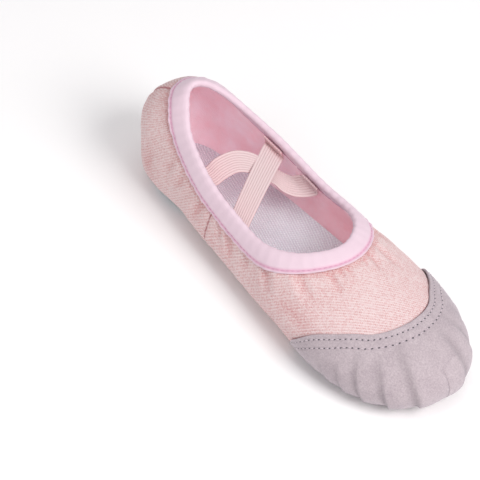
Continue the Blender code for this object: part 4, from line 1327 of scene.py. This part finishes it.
def elastic_material():
    """Ribbed pink elastic: pale cords, deeper pink in the grooves between them, and painted shade deepening the band
    towards its ends under the binding.
    """
    material, tree, shader = new_material("pink_ribbed_elastic", 0.75, 0.3, (1, 0.9, 0.9, 1))
    place = add_node(tree, "ShaderNodeUVMap", uv_map="cloth").outputs[0]
    parts = add_node(tree, "ShaderNodeSeparateXYZ", Vector=place)
    rib = maths(tree, "ABSOLUTE", maths(tree, "SINE", maths(tree, "MULTIPLY", parts.outputs[1], np.pi * RIB_COUNT / 10)))
    knit = maths(tree, "SINE", maths(tree, "MULTIPLY", parts.outputs[0], 2 * np.pi / 0.8))
    # Painted shade: the band's colour and its grooves deepen towards its ends, where it runs under the binding.
    painted_end_shade = add_node(tree, "ShaderNodeAttribute", attribute_name="painted_end_shade").outputs["Fac"]
    groove = maths(tree, "POWER", maths(tree, "SUBTRACT", 1.0, rib), 1.6)
    groove = maths(tree, "MULTIPLY", groove, maths(tree, "ADD", maths(tree, "MULTIPLY", painted_end_shade, 0.6), 0.4))
    pale = blend_colours(tree, maths(tree, "MULTIPLY", painted_end_shade, 0.5), (0.73, 0.585, 0.590, 1), (0.80, 0.47, 0.50, 1))
    colour = blend_colours(tree, maths(tree, "MULTIPLY", groove, 0.75), pale, (0.82, 0.42, 0.45, 1))
    height = maths(tree, "ADD", rib, maths(tree, "MULTIPLY", knit, 0.12))
    finish_surface(tree, shader, colour, height, 0.00012)
    return material


def smooth_path(points, steps):
    """A smooth line through points, at equal distances."""
    points = np.array(points)
    runs = np.concatenate([[0], np.cumsum(np.linalg.norm(np.diff(points[:, :3], axis=0), axis=-1))])
    at = np.linspace(0, runs[-1], 6 * steps)
    line = np.stack([smooth_read(runs, points[:, axis], at) for axis in range(points.shape[1])], -1)
    shares = np.concatenate([[0], np.cumsum(np.linalg.norm(np.diff(line[:, :3], axis=0), axis=-1))])
    even = np.linspace(0, shares[-1], steps)
    return np.stack([np.interp(even, shares, line[:, axis]) for axis in range(line.shape[1])], -1)


def build_elastic(name, node, rear_line, front_line, shade_along_band):
    """One elastic band between its rear and front edges, from the near side to the far side."""
    rear = smooth_path(rear_line, BAND_STEPS)
    front = smooth_path(front_line, BAND_STEPS)
    across = np.linspace(0, 1, BAND_ACROSS)
    grid = (1 - across)[None, :, None] * rear[:, None] + across[None, :, None] * front[:, None]
    normal = unit(np.cross(np.gradient(grid, axis=0), np.gradient(grid, axis=1)))
    rib = np.abs(np.sin(np.pi * RIB_COUNT * across)) ** 0.6
    grid = grid - normal * (0.00018 * rib)[None, :, None]
    run = np.concatenate([[0], np.cumsum(np.linalg.norm(np.diff((rear + front) / 2, axis=0), axis=-1))])
    place = np.stack([np.broadcast_to(run[:, None] * 1000, grid.shape[:2]),
                      np.broadcast_to(across[None, :] * 10, grid.shape[:2])], -1)
    share = run / run[-1]
    # Painted shade along the band, from its table.
    painted_end_shade = np.interp(share, [row[0] for row in shade_along_band], [row[1] for row in shade_along_band])
    painted_end_shade = np.broadcast_to(painted_end_shade[:, None], grid.shape[:2])
    piece = sheet_object(name, grid, place, {"painted_end_shade": painted_end_shade})
    piece.data.shade_smooth()
    piece.data.materials.append(ribbed_elastic)
    thicken(piece, ELASTIC * 0.8, 0)
    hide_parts(node)
    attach(piece, "root")


def wall_places(from_heel, shift, depths, side):
    """Points down the wall inside the binding, beside a band's end."""
    return [inner_wall(BACK_X + from_heel + shift, depth, WALL_INSET, side) for depth in depths]


ribbed_elastic = elastic_material()
WALL_INSET = CANVAS + 0.0001 + 2 * 0.0006 + ELASTIC / 2 + 0.0003
SLACK_NAMES = ("x", "y", "z", "way_x", "way_y", "way_z")
SLACK_LINE = np.array((
    (-0.0448, -0.0176, 0.0352, 0.92, 0.00, -0.38),
    (-0.0452, -0.0108, 0.0366, 0.86, -0.05, -0.50),
    (-0.0446, -0.0030, 0.0368, 0.83, -0.12, -0.54),
    (-0.0420, 0.0044, 0.0340, 0.80, -0.30, -0.50),
    (-0.0380, 0.0098, 0.0298, 0.80, -0.50, -0.30),
    (-0.0335, 0.0136, 0.0266, 0.82, -0.52, -0.10),
    (-0.0288, 0.0162, 0.0250, 0.88, -0.36, -0.15),
    (-0.0240, 0.0188, 0.0260, 0.94, -0.10, -0.28),
))
slack_middle = SLACK_LINE[:, :3]
slack_along = unit(np.gradient(slack_middle, axis=0))
slack_way = SLACK_LINE[:, 3:]
slack_way = unit(slack_way - (slack_way * slack_along).sum(-1, keepdims=True) * slack_along)
lower_edges = []
for half in (-ELASTIC_WIDTH / 2, ELASTIC_WIDTH / 2):
    edge = wall_places(ELASTIC_BACK, half, (0.0070, 0.0045, 0.0022), -1)
    edge = edge + list(slack_middle + half * slack_way)
    lower_edges.append(edge + wall_places(ELASTIC_FRONT - 0.0015, half, (0.0058, 0.0040, 0.0020), 1))
# The last values give the painted shade along the lower band, deepest at its ends.
build_elastic("lower_elastic", "elastic_strap_lower", lower_edges[0], lower_edges[1],
              ((0.0, 1.0), (0.2, 0.7), (0.4, 0.15), (0.85, 0.15), (1.0, 0.6)))
width_here = 2 * last_section(np.array(BACK_X + (ELASTIC_BACK + ELASTIC_FRONT) / 2))[0]
skewed = ELASTIC_WIDTH * np.hypot(ELASTIC_FRONT - ELASTIC_BACK, width_here) / width_here
upper_edges = []
for half in (-skewed / 2, skewed / 2):
    near = wall_places(ELASTIC_FRONT, half, (0.0070, 0.0045, 0.0022), -1)
    far = wall_places(ELASTIC_BACK, half, (0.0068, 0.0045, 0.0020), 1)
    edge = list(near)
    for share in (0.1, 0.3, 0.5, 0.7, 0.9):
        crown = np.array([0, 0, 0.0012 * np.sin(np.pi * share)])
        edge.append((1 - share) * near[-1] + share * far[0] + crown)
    upper_edges.append(edge + far)
# The last values give the painted shade along the upper band, deepest at its ends.
build_elastic("upper_elastic", "elastic_strap_upper", upper_edges[0], upper_edges[1],
              ((0.0, 0.5), (0.2, 0.4), (0.5, 0.1), (0.86, 0.05), (0.9, 0.8), (1.0, 1.0)))

# The floor, the studio light and the camera. The floor is a plain pale square.
floor_mesh = bpy.data.meshes.new("studio_floor")
floor_mesh.from_pydata([(-3, -3, 0), (3, -3, 0), (3, 3, 0), (-3, 3, 0)], [], [(0, 1, 2, 3)])
studio_floor = bpy.data.objects.new("studio_floor", floor_mesh)
bpy.context.scene.collection.objects.link(studio_floor)
floor_material, floor_tree, floor_shader = new_material("pale_floor", 0.9)
floor_shader.inputs["Base Color"].default_value = (0.99, 0.985, 0.985, 1)
floor_mesh.materials.append(floor_material)

world = bpy.data.worlds.new("studio")
world.use_nodes = True
world.node_tree.nodes["Background"].inputs[0].default_value = (0.98, 0.97, 1.0, 1)
world.node_tree.nodes["Background"].inputs[1].default_value = 0.42
bpy.context.scene.world = world


def softbox(name, place, aim, size, power, colour):
    """A square soft light at a place, turned to an aim."""
    light = bpy.data.lights.new(name, "AREA")
    light.shape = "SQUARE"
    light.size = size
    light.energy = power
    light.color = colour
    lamp = bpy.data.objects.new(name, light)
    lamp.location = place
    way = Matrix.Translation(place).to_translation() - Matrix.Translation(aim).to_translation()
    lamp.rotation_mode = "QUATERNION"
    lamp.rotation_quaternion = way.to_track_quat("Z", "Y")
    bpy.context.scene.collection.objects.link(lamp)


softbox("key_light", (0.85, 0.12, 0.85), (0, 0, 0.02), 0.7, 10.5, (1.0, 0.985, 0.975))
softbox("top_light", (-0.10, -0.10, 1.25), (0, 0, 0.02), 0.8, 3.0, (1.0, 0.99, 0.985))
softbox("front_light", (0.00, -1.00, 0.70), (0, 0, 0.02), 0.8, 2.6, (1.0, 0.99, 0.98))

AZIMUTH = np.radians(42.6)
ELEVATION = np.radians(45.0)
ROLL = np.radians(9.3)
CAMERA_DISTANCE = 1.095
FOCAL_PIXELS = 2440
PHOTO_PIXELS = 480
AIM_RIGHT_PIXELS = 59.6
AIM_DOWN_PIXELS = -1.0
SHOE_CENTRE = np.array([(BACK_X + TIP_X) / 2, 0, 0.020 + FLOOR])
SENSOR = 36.0

back = np.array([np.sin(AZIMUTH) * np.cos(ELEVATION), -np.cos(AZIMUTH) * np.cos(ELEVATION), np.sin(ELEVATION)])
forward = -back
right = unit(np.cross(forward, np.array([0.0, 0.0, 1.0])))
upright = np.cross(right, forward)
rolled_right = np.cos(ROLL) * right + np.sin(ROLL) * upright
rolled_up = -np.sin(ROLL) * right + np.cos(ROLL) * upright
aimed = unit(forward - rolled_right * AIM_RIGHT_PIXELS / FOCAL_PIXELS + rolled_up * AIM_DOWN_PIXELS / FOCAL_PIXELS)
aimed_right = unit(np.cross(aimed, rolled_up))
aimed_up = np.cross(aimed_right, aimed)
camera_data = bpy.data.cameras.new("photo_camera")
camera_data.sensor_width = SENSOR
camera_data.lens = FOCAL_PIXELS / PHOTO_PIXELS * SENSOR
camera = bpy.data.objects.new("photo_camera", camera_data)
place = SHOE_CENTRE + back * CAMERA_DISTANCE
camera.matrix_world = Matrix(((aimed_right[0], aimed_up[0], -aimed[0], place[0]),
                              (aimed_right[1], aimed_up[1], -aimed[1], place[1]),
                              (aimed_right[2], aimed_up[2], -aimed[2], place[2]),
                              (0, 0, 0, 1)))
camera_data.clip_start = 0.01
camera_data.clip_end = 20
bpy.context.scene.collection.objects.link(camera)
bpy.context.scene.camera = camera
bpy.context.scene.view_settings.view_transform = "Standard"
